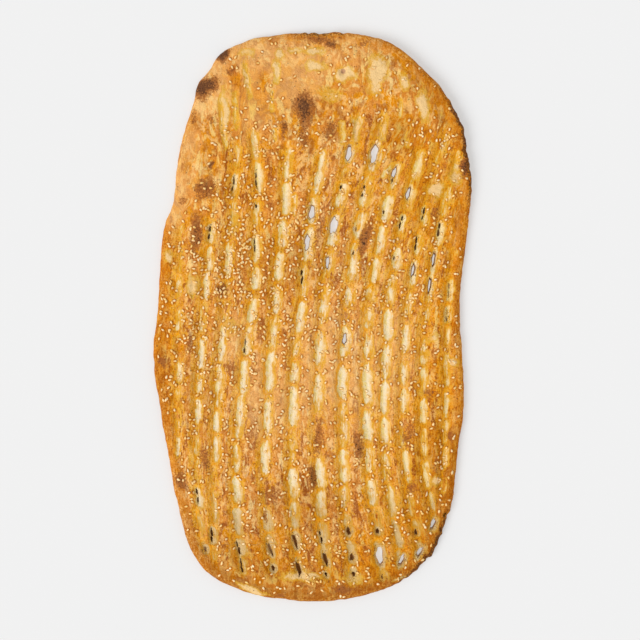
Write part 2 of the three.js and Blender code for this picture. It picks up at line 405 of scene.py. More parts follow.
# Where the glaze rubbed off and the crust stayed light.
BARE_PATCHES = spots(
    (64, 241, 7.5, 15, 12), (111, 209, 5.5, 13, -4), (2, 265, 8, 4, 0), (3, 251, 9, 4, 0),
    (31, 244, 6, 6, 0, 0.8), (-33, 262, 4, 6, 0), (-37, 243, 3, 8, 0), (-17, 265, 5, 3, 0, 0.7),
    (32, 241, 9, 5, 0, 0.8), (122, 127, 7, 6, 0), (141, -45, 5, 4, 0), (121, -23, 5, 5, 0, 0.8),
    (92, 233, 4, 8, 0, 0.9), (-12, -260, 17, 4, 0, 0.9), (40, -260, 10, 5, 0, 0.6),
    (-66, 262, 7, 3, 0, 0.7), (18, 222, 10, 7, 0, 0.5), (-119, 31, 5, 11, 0, 0.8), (-144, 62, 3, 6, 0, 0.9),
    (122, -163, 4, 4, 0, 0.9), (142, 139, 7, 7, 0, 0.7), (-83, -9, 9, 7, 0, 0.5), (-78, 95, 5, 11, 0, 0.4),
    (-88, 200, 2.5, 24, -4, 0.9), (-65, 235, 2.5, 14, -12, 0.8), (72, 188, 2.5, 10, 10, 0.8),
    (44, 186, 3, 10, 8, 0.8), (-60, -271, 14, 2.5, 20, 1.0),
)

POKE = Spot(30.5, 245.0, 2.7, 2.9)  # a finger's poke near the head, apart from the furrows
POKE_DEPTH = 3.2


@dataclass(frozen=True)
class Groove:
    """A short scored line that stayed pale: its two ends, sideways bow, half width and strength."""

    x0: float
    y0: float
    x1: float
    y1: float
    bow: float = 0.0
    half: float = 1.6
    strength: float = 1.0

    def at(self, x: Array, y: Array) -> Array:
        """The groove's strength: a bell across its arc 4 bow t (1 - t), fading at either end.

        Args:
            x: across the loaf.
            y: along it.

        Returns:
            The strength at each point.
        """
        run_x, run_y = self.x1 - self.x0, self.y1 - self.y0
        length = math.hypot(run_x, run_y)
        t = ((x - self.x0) * run_x + (y - self.y0) * run_y) / length**2
        off = ((x - self.x0) * run_y - (y - self.y0) * run_x) / length - 4.0 * self.bow * t * (1.0 - t)
        ends = smooth(-0.08, 0.12, t) * smooth(1.08, 0.88, t)
        return self.strength * np.exp(-((off / self.half) ** 2)) * ends


GROOVES = tuple(Groove(*row) for row in (
    (-91.5, 221, -86.0, 168, 1.5, 2.0), (-68, 256, -62, 218, 0, 1.8, 0.8),
    (-77, 228, -75, 186, 1, 2.6, 0.6), (80.5, 155, 69, 139, 0, 2.0, 1.0), (71, 201, 71.5, 176, 3, 2.2, 1.0),
    (47.5, 201, 46, 176, 3, 2.0, 0.9), (40, 198, 40.5, 178, -2.5, 1.8, 0.8),
    (-119, 43, -120, 18, 0, 1.8, 0.8), (-16, 123, -17.5, 101, 1, 1.8, 0.8),
    (87.5, 218, 88, 198, 0, 1.6, 0.7), (29, 196, 30, 172, 0, 3.0, 0.7), (-34, 254, -36, 232, 0, 2.6, 0.7),
    (-40, 226, -40.5, 204, 0, 2.2, 0.6), (-38, 188, -38, 174, 0, 1.8, 0.8), (92, 190, 95, 168, 0, 2.0, 0.5),
    (60, 132, 56, 118, 0, 1.8, 0.6), (79.5, -264.0, 93.5, -259.0, 0, 1.0, 1.0),
))

# Where the bake is lighter, above 0, or deeper, below 0.
TONES = spots(
    (20, -60, 42, 60, 0, 0.6), (85, -55, 22, 45, 0, 0.4), (-50, -75, 26, 40, 0, 0.6),
    (-82, -15, 18, 28, 0, 0.4), (-60, 262, 70, 22, 12, 0.9), (40, 262, 60, 16, -14, 0.4),
    (112, 150, 22, 60, 0, -0.4), (0, -264, 130, 22, 0, -0.8), (110, -205, 40, 45, 0, -0.5),
    (-146, -80, 12, 100, 0, -0.5), (-15, -185, 60, 26, 0, -0.5), (-95, -235, 50, 25, 0, -0.6),
    (132, -125, 22, 40, 0, -0.5), (-10, -280, 130, 14, 0, -1.0), (120, 222, 14, 60, -42, -0.6),
    (-154, -100, 7, 120, 0, -0.5), (-100, -262, 34, 8, -38, -0.6), (150, -30, 6, 120, 0, -0.3),
    (-108, 226, 22, 20, 0, 0.8), (-12, 232, 20, 18, 0, 0.7), (82, 186, 24, 22, 0, -0.5),
    (-20, 54, 62, 30, 0, -0.7), (14, -38, 18, 40, 0, 1.2), (-112, -78, 14, 42, 0, -0.9),
    (116, -150, 24, 60, 0, -0.7), (-6, -190, 28, 44, 0, -0.6), (80, -14, 14, 18, 0, 0.5),
    (-112, -176, 14, 20, 0, -0.3), (-66, -256, 34, 12, 0, -0.6), (84, -256, 24, 12, 0, -0.2),
    (112, 120, 14, 40, 0, -0.5), (18, 186, 18, 20, 0, -0.4), (-46, -96, 14, 24, 0, 0.8),
    (-50, 222, 50, 28, 0, 0.4), (-30, 102, 70, 16, 0, 0.25), (20, -65, 70, 40, 0, 0.2),
    (-12, 226, 16, 14, 0, 0.6), (-80, -16, 16, 16, 0, 0.5), (-140, 125, 9, 46, 0, 0.7),
    (-78, 243, 5, 12, -20, -0.9), (-48, 238, 5, 10, 0, -0.8), (16, 225, 16, 18, 0, -0.5),
    (80, 186, 18, 18, 0, -0.5), (-47, 25, 20, 20, 0, -0.6), (-15, 65, 18, 20, 0, -0.5),
    (-80, 65, 18, 18, 0, -0.4), (16, -95, 16, 20, 0, -0.5), (-15, -52, 18, 18, 0, -0.5),
    (144, -95, 10, 18, 0, 0.6), (-111, -253, 14, 10, 0, 0.7), (-98, 249, 9, 8, 0, 0.9),
    (-104, 216, 11, 10, 0, 0.8), (-122, 172, 10, 16, 0, 0.8), (-138, 117, 8, 16, 0, 1.0),
    (-60, 190, 12, 20, 0, 0.5), (-120, 135, 14, 12, 0, 0.5),
)

# Where the glaze ran thick and golden.
GILT = spots(
    (140, 60, 26, 190, 0, 1.0), (110, 130, 36, 60, 0, 0.8), (-150, 40, 9, 110, 0, 1.0),
    (120, -150, 34, 80, 0, 0.8), (104, -225, 46, 46, 0, 0.9), (0, -250, 130, 30, 0, 0.8),
    (-70, 225, 20, 26, 0, 0.8), (-30, 250, 90, 40, 0, 0.3), (-60, 115, 50, 80, 0, 0.5),
    (60, 210, 90, 50, 0, 0.5), (-110, 150, 40, 60, 0, 0.4), (-146, -60, 14, 110, 0, 0.6),
)

# Where the rim is singed and crumbly. Along the rim's shadow side, the singed line is also painted shade.
SINGED_EDGES = spots(
    (150, 172, 24, 62, -12, 1.0), (116, -232, 56, 40, 0, 1.0), (6, 284, 26, 7, 0, 0.8),
)


@dataclass(frozen=True)
class Plan:
    """The loaf's outline, furrows and tears seen from above, and what they make of any point."""

    length: float = DRAWN_LENGTH
    width: float = DRAWN_WIDTH
    outline_points: int = 700
    tear_seed: int = 5
    lift: float = 5.0
    lift_from: float = 155.0
    lift_reach: float = 110.0
    knots: tuple = (
        (20, 284), (58, 280), (90, 266), (128, 229), (148, 196), (155, 167), (160, 133), (156, 92),
        (151, 46), (148, 5), (151, -48), (152, -90), (146, -132), (141, -180), (130, -217), (118, -240),
        (89, -265), (46, -281), (-5, -285), (-55, -279), (-98, -262), (-121, -235), (-134, -195),
        (-143, -150), (-154, -86), (-160, -36), (-155, 15), (-150, 84), (-140, 114), (-137, 147), (-130, 182),
        (-120, 212), (-116, 232), (-104, 246), (-93, 262), (-72, 274), (-38, 282),
    )

    def outline(self, count: int) -> Array:
        """Points evenly spaced round the loaf's widest line, clockwise from above.

        A closed Catmull-Rom spline runs through the knots: on each stretch p1 to p2 it is the cubic with
        end slopes (p2 - p0) / 2 and (p3 - p1) / 2. It is fitted to length and width, and small random dents
        are added.

        Args:
            count: how many points.

        Returns:
            One row of x and y for each point.
        """
        knots = np.array(self.knots, float)
        t = np.linspace(0.0, 1.0, 40, endpoint=False)[None, :, None]
        p0, p1, p2, p3 = (np.roll(knots, shift, axis=0)[:, None, :] for shift in (1, 0, -1, -2))
        slope1, slope2 = (p2 - p0) / 2.0, (p3 - p1) / 2.0
        square = 3.0 * (p2 - p1) - 2.0 * slope1 - slope2
        cube = 2.0 * (p1 - p2) + slope1 + slope2
        curve = (p1 + t * (slope1 + t * (square + t * cube))).reshape(-1, 2)
        low, high = curve.min(axis=0), curve.max(axis=0)
        curve = (curve - (low + high) / 2.0) * np.array([self.width, self.length]) / (high - low)
        x, y = curve.T
        crumbly = 0.35 + 1.3 * marks(SINGED_EDGES, x, y)
        dents = 0.7 * Grain(16.0, 11).at(x, y) + crumbly * Grain(5.0, 12, 2).at(x, y)
        curve = curve - self.outward(curve) * (0.4 - dents)[:, None]
        ring = np.vstack([curve, curve[:1]])
        run = np.concatenate([[0.0], np.cumsum(np.hypot(*np.diff(ring, axis=0).T))])
        stations = np.linspace(0.0, run[-1], count, endpoint=False)
        return np.stack([np.interp(stations, run, ring[:, axis]) for axis in (0, 1)], axis=1)

    @staticmethod
    def outward(line: Array) -> Array:
        """The outward normal along a closed clockwise line: the chord about each point, turned left.

        Args:
            line: one row of x and y for each point.

        Returns:
            One row of x and y for each normal.
        """
        along = np.roll(line, -3, axis=0) - np.roll(line, 3, axis=0)
        along /= np.linalg.norm(along, axis=1)[:, None]
        return np.stack([-along[:, 1], along[:, 0]], axis=1)

    def rise(self, x: Array, y: Array) -> Array:
        """The lift off the table: a cubic step along the diagonal to the head's right corner."""
        return self.lift * smooth(0.0, self.lift_reach, (x + y) / math.sqrt(2.0) - self.lift_from)

    def edge_distance(self, x: Array, y: Array) -> Array:
        """The distance from each point to the nearest of many points on the outline."""
        return nearest(x, y, self.outline(self.outline_points))

    def bearing(self, x: Array, y: Array) -> Array:
        """Each point's angle round the middle, with x and y scaled by the loaf's width and length."""
        return np.arctan2(y / self.length, x / self.width)

    def holds(self, x: Array, y: Array) -> Array:
        """Which points lie inside the outline.

        With x and y scaled by the loaf's width and length, a point is inside where it is nearer the middle
        than the outline is at the same angle.

        Args:
            x: across the loaf.
            y: along it.

        Returns:
            True for each point inside.
        """
        line = self.outline(self.outline_points)
        turn = self.bearing(*line.T)
        order = np.argsort(turn)
        far = np.hypot(line[order, 0] / self.width, line[order, 1] / self.length)
        reach = np.interp(self.bearing(x, y), turn[order], far, period=2 * np.pi)
        return np.hypot(x / self.width, y / self.length) < reach

    @staticmethod
    def wander(x: Array, y: Array) -> Array:
        """How far the furrows stray from their routes: slow and quick random waves."""
        return 1.0 * Grain(24.0, 31, 2).at(x, y) + 0.5 * Grain(7.0, 32, 2).at(x, y)

    @staticmethod
    def lane(x: Array, y: Array) -> Array:
        """A coordinate across the loaf that follows the furrows, with each lane between them LANE wide.

        Args:
            x: across the loaf.
            y: along it.

        Returns:
            LANE times the number of furrows passed, with a fraction. Outside the furrows it grows as x does.
        """
        routes = [furrow.route(np.clip(y, *ROUTE_ENDS)) for furrow in FURROWS]
        lane = np.minimum(x - routes[0], 0.0)
        for left, right in zip(routes, routes[1:]):
            lane = lane + LANE * np.clip((x - left) / (right - left), 0.0, 1.0)
        return lane + np.maximum(x - routes[-1], 0.0)

    def tear_spots(self) -> list[tuple[TearForm, float, float, float]]:
        """Each hole's form, middle and heading, off the furrow's strayed route.

        A kind with several pieces is a row of holes, and each of them draws its own size, place and turn.

        Returns:
            The form, x, y and heading of each.
        """
        random = np.random.default_rng(self.tear_seed)
        spots = []
        for kind, places in TEARS.items():
            form = kind.value
            step = form.length / form.pieces
            for index, middle, *lean in places:
                for piece in range(form.pieces):
                    y = middle + (form.pieces / 2.0 - piece - 0.5) * step
                    x = float(FURROWS[index].route(y)) - form.shift
                    x -= float(self.wander(np.array([x]), np.array([y]))[0])
                    hole, heading = form, FURROWS[index].heading(y) + math.radians(sum(lean))
                    if form.pieces > 1:
                        length = random.uniform(0.7, 1.25) * step
                        width = random.uniform(0.6, 1.2) * form.width
                        hole = replace(form, length=length, width=width)
                        x, y = x + random.uniform(-0.4, 0.4), y + random.uniform(-0.15, 0.15) * step
                        heading += random.uniform(-0.12, 0.12)
                    spots.append((hole, x, y, heading))
        return spots

    def tear_nearness(
        self, x: Array, y: Array, margin: float = 0.0, shift: float = 0.0, blind: bool = False
    ) -> Array:
        """The distance to the nearest tear in units of its own oval, so 1 is on a tear's edge.

        Args:
            x: across the loaf.
            y: along it.
            margin: how far each oval is widened all round.
            shift: how far each oval is moved to the right.
            blind: whether only the tears that stop inside the loaf count.

        Returns:
            The distance at each point.
        """
        best = np.full(np.shape(x), 9.0)
        for form, mid_x, mid_y, heading in self.tear_spots():
            if blind and form.foot > 0.0:
                continue
            dx, dy = x - mid_x - shift, y - mid_y
            over = (dx * math.cos(heading) - dy * math.sin(heading)) / (form.width / 2.0 + margin)
            up = (dx * math.sin(heading) + dy * math.cos(heading)) / (form.length / 2.0 + margin)
            best = np.minimum(best, np.hypot(over, up))
        return best


# ---- The loaf's relief and bake ----


@dataclass
class Survey:
    """What the plan makes of a set of points: how far in they are, and their place in furrow and dock.

    side is about the signed distance from the nearest furrow's route, furrow is 1 inside that furrow's
    length, sunk is 1 where a dock is pressed deepest, pale where its dough stayed pale, bridge between two
    docks, and crease where glaze pooled along a dock's left edge.
    """

    plan: Plan
    x: Array
    y: Array
    edge: Array = field(init=False)
    side: Array = field(init=False)
    furrow: Array = field(init=False)
    sunk: Array = field(init=False)
    pale: Array = field(init=False)
    bridge: Array = field(init=False)
    crease: Array = field(init=False)

    def __post_init__(self) -> None:
        """Works the fields out for every point."""
        self.edge = self.plan.edge_distance(self.x, self.y)
        self._read_furrows()

    def _read_furrows(self) -> None:
        """Finds each point's nearest furrow, and its place across and along the furrow's docks.

        Each dock draws its own widths, shift and slant. It is an oval, blunt along and wider to the right:
        (across / width)^2 + (along / half length)^4 is 1 on its edge. Pale dough is that oval with a cubic
        step, crisp at the left and soft at the right. A dock that browned keeps only a pale outline. The
        pressed bowl is a wider oval.
        """
        x, y = self.x, self.y
        best = np.full(x.shape, FAR)
        self.side = np.full(x.shape, FAR)
        self.furrow, self.sunk, self.pale, self.bridge, self.crease = (np.zeros(x.shape) for _ in range(5))
        stray = self.plan.wander(x, y)
        ragged = Grain(6.5, 33, 3).at(x, y)
        frayed = Grain(2.8, 35, 2).at(x, y / 2.0)
        drift = 0.8 * Grain(19.0, 34, 2).at(x, y)
        for order, item in enumerate(FURROWS):
            side = x - item.route(y) + stray
            nearer = np.abs(side) < best
            best = np.where(nearer, np.abs(side), best)
            share = item.share(y)
            number, middle, half, bake = item.docks(y - drift)
            draws = [scatter(number, np.full(x.shape, order), np.full(x.shape, 70 + k)) for k in range(5)]
            across = side - 1.8 * (draws[2] - 0.5) + 0.8 * ragged + 0.6 * frayed
            along = np.abs(y - drift - middle + 0.9 * (draws[4] - 0.5) * across + 1.6 * ragged)
            half = half - (0.8 + 2.0 * draws[1])
            left, right = 2.6 + 0.8 * bake + 0.9 * draws[0], 3.6 + 1.8 * bake + 2.0 * draws[3]
            wide = np.where(across < 0.0, left, right) * item.breadth
            oval = np.sqrt((across / wide) ** 2 + (along / half) ** 4)
            bowl = np.sqrt((across / (wide + 4.4)) ** 2 + (along / (half + 4.0)) ** 2.5)
            soft = smooth(-2.0, 3.0, across)
            pale = smooth(1.24 + 0.24 * soft, 0.68 - 0.32 * soft, oval)
            hollow = smooth(0.75, 0.3, oval) * smooth(0.62, 0.35, bake)
            pale = pale * (1.0 - 0.75 * hollow) * (0.1 + 0.95 * bake) * (0.7 + 0.6 * draws[4]) * share
            sunk = smooth(1.05, 0.15, bowl) * (0.55 + 0.45 * bake) * share
            bridge = smooth(0.85, 1.15, along / half) * smooth(8.0, 3.0, np.abs(across)) * share
            crease = np.exp(-(((oval - 1.35) / 0.24) ** 2)) * smooth(2.5, -2.0, across) * share
            found = {
                "side": across, "furrow": share, "pale": pale,
                "sunk": sunk, "bridge": bridge, "crease": crease,
            }
            for name, value in found.items():
                setattr(self, name, np.where(nearer, value, getattr(self, name)))


@dataclass(frozen=True)
class Relief:
    """Heights and depths of the loaf's surfaces.

    waist is the height of the widest line, rim that of the rounding's end and crest that of the ridges.
    rim_round and undercut are how far in the rounding reaches above the waist and below it, and crest_start
    how far in the ridges reach their full height.
    """

    plan: Plan
    crest: float = 13.0
    waist: float = 4.5
    undercut: float = 6.0
    rim: float = 10.0
    rim_round: float = 9.0
    crest_start: float = 24.0
    furrow_depth: float = 2.6
    dock_depth: float = 2.1

    def top(self, survey: Survey) -> Array:
        """The height of the loaf's top.

        The rim is a quarter ellipse from the widest line, then a cubic step up to the crests. Each furrow
        is a valley, steeper on its left side. Its docks are deeper ovals, and random relief rides on the
        whole.

        Args:
            survey: what the plan makes of the points.

        Returns:
            The heights.
        """
        x, y, side = survey.x, survey.y, survey.side
        turn = np.clip(1.0 - survey.edge / self.rim_round, 0.0, 1.0)
        z = self.waist + (self.rim - self.waist) * np.sqrt(1.0 - turn * turn)
        inner = smooth(self.rim_round, self.crest_start, survey.edge)
        z = z + (self.crest - self.rim) * inner + 0.9 * Grain(70.0, 41, 2).at(x, y) * inner
        breadth = 1.2 * Grain(18.0, 42, 2).at(x, y)
        left, right = smooth(-11.5 - breadth, -0.6, side), smooth(11.0 + breadth, 0.8, side)
        valley = left * right * survey.furrow * smooth(4.0, 16.0, survey.edge)
        z = z - self.furrow_depth * valley * (1.0 + 0.3 * Grain(26.0, 43, 2).at(x, y))
        near_foot = smooth(-190.0, -225.0, y)
        z = z - self.dock_depth * (1.0 - 0.4 * near_foot) * survey.sunk * smooth(5.0, 14.0, survey.edge)
        ridge = (1.0 - 0.8 * valley) * smooth(2.0, 12.0, survey.edge)
        z = z + ridge * (0.8 * Grain(13.0, 44, 2).at(x, y) + 0.45 * Grain(4.6, 45, 2).at(x, y))
        z = z + 0.3 * Grain(3.8, 46, 2).at(x, y) * smooth(1.0, 6.0, survey.edge)
        z = z - POKE_DEPTH * POKE.at(x, y)
        for spot in SCORCHES:
            z = z + 0.5 * spot.at(x, y)
        for groove in GROOVES:
            z = z - 1.4 * groove.at(x, y)
        z = z - 1.0 * smooth(1.6, 0.9, self.plan.tear_nearness(x, y, 1.2))
        return np.maximum(z, 2.2) + self.plan.rise(x, y)


@dataclass(frozen=True)
class Loaf:
    """The loaf's surface, in cells of a grid bent to its outline, with the tears cut out of it.

    shoulder is how far in from the widest line the grid of the top ends, and underside_rings how far in two
    coarser rings lie below it. seed_pool_and_shade is how far from a seed its ring of pooled glaze and painted
    shade ends, and how far it is at its fullest.
    """

    plan: Plan
    relief: Relief
    cells_across: int = 200
    cells_along: int = 356
    fine_points: int = 6000
    shoulder: float = 2.6
    rim_steps: int = 5
    undercut_steps: int = 5
    underside_rings: tuple[float, float] = (9.0, 14.0)
    tube_sides: int = 22
    tube_seed: int = 7
    raggedness: float = 0.1
    seed_pool_and_shade: tuple[float, float] = (3.4, 1.4)

    @property
    def around(self) -> int:
        """How many vertices there are round the rim."""
        return 2 * (self.cells_across + self.cells_along)

    @staticmethod
    def disc(across: int, along: int) -> tuple[Array, Array]:
        """A square grid bent to a unit disc: x = u sqrt(1 - v^2 / 2), y = v sqrt(1 - u^2 / 2).

        Args:
            across: cells in u.
            along: cells in v.

        Returns:
            Each grid point's distance from the middle, and its angle.
        """
        u, v = np.meshgrid(np.linspace(-1.0, 1.0, across + 1), np.linspace(-1.0, 1.0, along + 1))
        x, y = u * np.sqrt(1.0 - v * v / 2.0), v * np.sqrt(1.0 - u * u / 2.0)
        return np.hypot(x, y), np.arctan2(y, x)

    @staticmethod
    def grid_rim(across: int, along: int) -> Array:
        """The numbers of a grid's outer vertices, anticlockwise from its lower left corner."""
        numbers = np.arange((across + 1) * (along + 1)).reshape(along + 1, across + 1)
        return np.concatenate([numbers[0, :-1], numbers[:-1, -1], numbers[-1, :0:-1], numbers[:0:-1, 0]])

    @staticmethod
    def grid_faces(across: int, along: int) -> Array:
        """The four corners of each cell, anticlockwise from above.

        Args:
            across: cells across.
            along: cells along.

        Returns:
            One row of four vertex numbers for each cell.
        """
        numbers = np.arange((across + 1) * (along + 1)).reshape(along + 1, across + 1)
        a, b, c, d = numbers[:-1, :-1], numbers[:-1, 1:], numbers[1:, 1:], numbers[1:, :-1]
        return np.stack([a.ravel(), b.ravel(), c.ravel(), d.ravel()], axis=1)

    def line_at(self, distance: float, angle: Array) -> Array:
        """Points on the outline moved inwards, at given angles round the loaf.

        The outline's points are sorted by their angle once x and y are scaled to a circle, so that each angle
        falls on one place of the outline.

        Args:
            distance: how far inwards from the widest line, square to it.
            angle: the angles, in radians.

        Returns:
            x and y for each angle, in the last axis.
        """
        line = self.plan.outline(self.fine_points)
        inner = line - self.plan.outward(line) * distance
        turn = self.plan.bearing(*line.T)
        order = np.argsort(turn)
        parts = [np.interp(angle, turn[order], inner[order, axis], period=2 * np.pi) for axis in (0, 1)]
        return np.stack(parts, axis=-1)

    def build(self, seeds: Array) -> bpy.types.Object:
        """Makes the whole closed surface and cuts the tears out of it.

        Args:
            seeds: one row of x and y for each seed that will lie on the crust.

        Returns:
            The loaf, with its masks set.
        """
        points, faces = self._shell()
        loaf = new_object("loaf", points, faces)
        cutters = self._cutters()
        cut = loaf.modifiers.new("tears", "BOOLEAN")
        cut.operation = "DIFFERENCE"
        cut.solver = "MANIFOLD"
        cut.object = cutters
        bpy.context.view_layer.update()
        finished = bpy.data.meshes.new_from_object(loaf.evaluated_get(bpy.context.evaluated_depsgraph_get()))
        loaf.modifiers.clear()
        loaf.data = finished
        finished.name = "loaf"
        bpy.data.objects.remove(cutters)
        finished.polygons.foreach_set("use_smooth", np.ones(len(finished.polygons), bool))
        self._mark(finished, seeds)
        return loaf

    def _shell(self) -> tuple[Array, list]:
        """The closed surface before its tears.

        The top is a disc grid out to the shoulder. Rings lead from there over the rim, round the widest
        line and under, and two rings that each halve their count meet a coarser disc grid on the underside.

        Returns:
            The vertices and the faces.
        """
        rho, angle = self.disc(self.cells_across, self.cells_along)
        flat = rho[..., None] * self.line_at(self.shoulder, angle)
        x, y = flat[..., 0].ravel(), flat[..., 1].ravel()
        top = np.stack([x, y, self.relief.top(Survey(self.plan, x, y))], axis=1)
        faces = self.grid_faces(self.cells_across, self.cells_along).tolist()
        parts, start = [top], len(top)
        outer = self.grid_rim(self.cells_across, self.cells_along)
        around = angle.ravel()[outer]
        shoulder_z = top[outer, 2]
        ring = outer
        for distance, z in self._rim_profile(shoulder_z, around):
            xy = self.line_at(distance, around)
            parts.append(np.column_stack([xy, z + self.plan.rise(xy[:, 0], xy[:, 1])]))
            below = np.arange(start, start + self.around)
            faces += np.stack([ring, below, np.roll(below, -1), np.roll(ring, -1)], axis=1).tolist()
            ring, start = below, start + self.around
        for distance in self.underside_rings:
            around = around[::2]
            xy = self.line_at(distance, around)
            parts.append(np.column_stack([xy, self.plan.rise(xy[:, 0], xy[:, 1])]))
            below = np.arange(start, start + len(around))
            halves = [ring[0::2], below, np.roll(below, -1), np.roll(ring[0::2], -1), ring[1::2]]
            faces += np.stack(halves, axis=1).tolist()
            ring, start = below, start + len(around)
        across, along = self.cells_across // 4, self.cells_along // 4
        rho, angle = self.disc(across, along)
        flat = rho[..., None] * self.line_at(self.underside_rings[-1], angle)
        x, y = flat[..., 0].ravel(), flat[..., 1].ravel()
        base = np.column_stack([x, y, self.plan.rise(x, y)])
        numbers = np.arange(len(base)) + start
        outer = self.grid_rim(across, along)
        numbers[outer] = ring
        inner = np.setdiff1d(np.arange(len(base)), outer)
        numbers[inner] = start + np.arange(len(inner))
        parts.append(base[inner])
        faces += numbers[self.grid_faces(across, along)[:, ::-1]].tolist()
        return np.vstack(parts), faces

    def _rim_profile(self, shoulder_z: Array, around: Array) -> list[tuple[float, Array]]:
        """The rings from the shoulder to the underside.

        Two quarter ellipses meet at the widest line. The upper one starts at the shoulder's own height.

        Args:
            shoulder_z: the height of the top's edge at each vertex.
            around: the angle of each vertex.

        Returns:
            Each ring's distance in from the widest line, and its heights before the lift.
        """
        relief = self.relief
        edge = self.line_at(self.shoulder, around)
        shoulder_z = shoulder_z - self.plan.rise(edge[:, 0], edge[:, 1])
        first = math.acos(1.0 - self.shoulder / relief.rim_round)
        rings = []
        for step in range(1, self.rim_steps + 1):
            turn = first * (1.0 - step / self.rim_steps)
            height = relief.waist + (shoulder_z - relief.waist) * (math.sin(turn) / math.sin(first))
            rings.append((relief.rim_round * (1.0 - math.cos(turn)), height))
        for step in range(1, self.undercut_steps + 1):
            turn = step / self.undercut_steps * math.pi / 2.0
            height = relief.waist * (1.0 - math.sin(turn))
            rings.append((relief.undercut * (1.0 - math.cos(turn)), np.full(len(around), height)))
        return rings

    @staticmethod
    def levels(foot: float) -> tuple[tuple[float, float], ...]:
        """A tear tube's heights and its share of the full width at each, up to the crust."""
        through, blind = ((-4.0, foot), (1.0, foot), (6.0, 1.0)), ((4.6, 0.35), (6.0, 0.8), (8.0, 1.0))
        return through if foot > 0.0 else blind

    def _cutters(self) -> bpy.types.Object:
        """One closed, ragged oval tube for each tear, which narrows downwards.

        It reaches below the underside, or stops inside the loaf where its form has no foot. A tube's radius
        at angle a is its oval's, times 1 plus three small waves of random phase.

        Returns:
            The tubes, as one object.
        """
        random = np.random.default_rng(self.tube_seed)
        sides = self.tube_sides
        turn = np.arange(sides) / sides * 2.0 * np.pi
        points, faces = [], []
        for form, mid_x, mid_y, heading in self.plan.tear_spots():
            levels = (*self.levels(form.foot), (26.0, form.flare))
            waves = (self.raggedness * np.sin(k * turn + random.uniform(0, 6.3)) for k in (2, 3, 5))
            ragged = 1.0 + sum(waves)
            over, up = np.cos(turn) * ragged * form.width / 2.0, np.sin(turn) * ragged * form.length / 2.0
            start = len(points) * sides
            for height, size in levels:
                along = (1.0 + size) / 2.0 if size < 1.0 else size
                x = over * size * math.cos(heading) + up * along * math.sin(heading) + mid_x
                y = up * along * math.cos(heading) - over * size * math.sin(heading) + mid_y
                points.append(np.column_stack([x, y, np.full(sides, height)]))
            for level in range(len(levels) - 1):
                low = start + level * sides + np.arange(sides)
                high = low + sides
                faces += np.stack([low, np.roll(low, -1), np.roll(high, -1), high], axis=1).tolist()
            faces.append((start + np.arange(sides))[::-1].tolist())
            faces.append((start + (len(levels) - 1) * sides + np.arange(sides)).tolist())
        return new_object("tear_cutters", np.vstack(points), faces)

    def _mark(self, mesh: bpy.types.Mesh, seeds: Array) -> None:
        """Stores the masks that the crust's finish reads, worked out from each vertex's place.

        Args:
            mesh: the finished mesh.
            seeds: one row of x and y for each seed on the crust.
        """
        count = len(mesh.vertices)
        flat = np.empty(count * 3, np.float32)
        mesh.vertices.foreach_get("co", flat)
        x, y, z = (flat.reshape(-1, 3).astype(float) / MM).T
        survey = Survey(self.plan, x, y)
        nearness = self.plan.tear_nearness(x, y)
        top = self.relief.top(survey)
        depth = top - z
        under = smooth(2.6, 0.6, z - self.plan.rise(x, y)) * smooth(1.5, 4.0, depth)
        wall = smooth(0.5, 6.0, depth) * smooth(2.2, 1.8, nearness) * smooth(6.0, 9.0, survey.edge)
        left = smooth(-11.0, -7.0, survey.side) * smooth(1.0, -3.0, survey.side)
        right = smooth(11.5, 8.0, survey.side) * smooth(-1.0, 3.0, survey.side)
        flank = (left + 0.45 * right) * survey.furrow + 0.6 * survey.bridge
        around_tears = smooth(1.35, 0.9, self.plan.tear_nearness(x, y, 2.0, 0.7))
        pale = np.maximum(survey.pale, 0.8 * around_tears) * smooth(3.0, 8.0, survey.edge)
        bent_x = x + 3.0 * Grain(14.0, 51).at(x, y) + 1.5 * Grain(5.0, 52).at(x, y)
        bent_y = y + 4.0 * Grain(14.0, 53).at(x, y) + 1.5 * Grain(5.0, 54).at(x, y)
        masks = {
            "pale": np.maximum(pale, 0.9 * sum(groove.at(x, y) for groove in GROOVES)),
            "lean": smooth(-4.0, 6.0, survey.side),
            # Painted shade on the sunlit right slope of each furrow, to tone its lighting down.
            "lit_side_painted_shade": smooth(0.0, 3.5, survey.side) * smooth(12.0, 7.0, survey.side) * survey.furrow,
            "foot": smooth(-160.0, -215.0, y),
            "flank": np.clip(flank, 0.0, 1.0) * smooth(6.0, 14.0, survey.edge),
            "crease": survey.crease,
            "scorch": marks(SCORCHES, bent_x, bent_y, 0.0, 1.8),
            "bare": marks(BARE_PATCHES, bent_x, bent_y),
            "tone": marks(TONES, x, y, -1.3, 1.0),
            "gilt": marks(GILT, x, y),
            "rim": smooth(17.0, 5.0, survey.edge),
            "singed_and_shaded": marks(SINGED_EDGES, x, y) * smooth(6.5, 2.5, survey.edge),
            "torn": smooth(1.7, 1.0, self.plan.tear_nearness(x, y, 1.0)),
            # Pooled glaze and painted shade round each seed.
            "seed_pool_and_shade": smooth(*self.seed_pool_and_shade, nearest(x, y, seeds)),
            "lane": self.plan.lane(x, y),
            "edge": np.minimum(survey.edge, 30.0),
            "open": (1.0 - survey.furrow) * smooth(2.0, 12.0, survey.edge),
            "under": under,
            "wall": wall,
            # Painted shade in the tears that stop inside the loaf, as if they were deep and unlit.
            "blind_tear_shade": smooth(1.5, 1.1, self.plan.tear_nearness(x, y, 0.0, 0.0, True)) * smooth(0.3, 3.2, depth),
            "poke": POKE.at(x, y),
        }
        for name, values in masks.items():
            set_mask(mesh, name, values)


# ---- Finishes ----


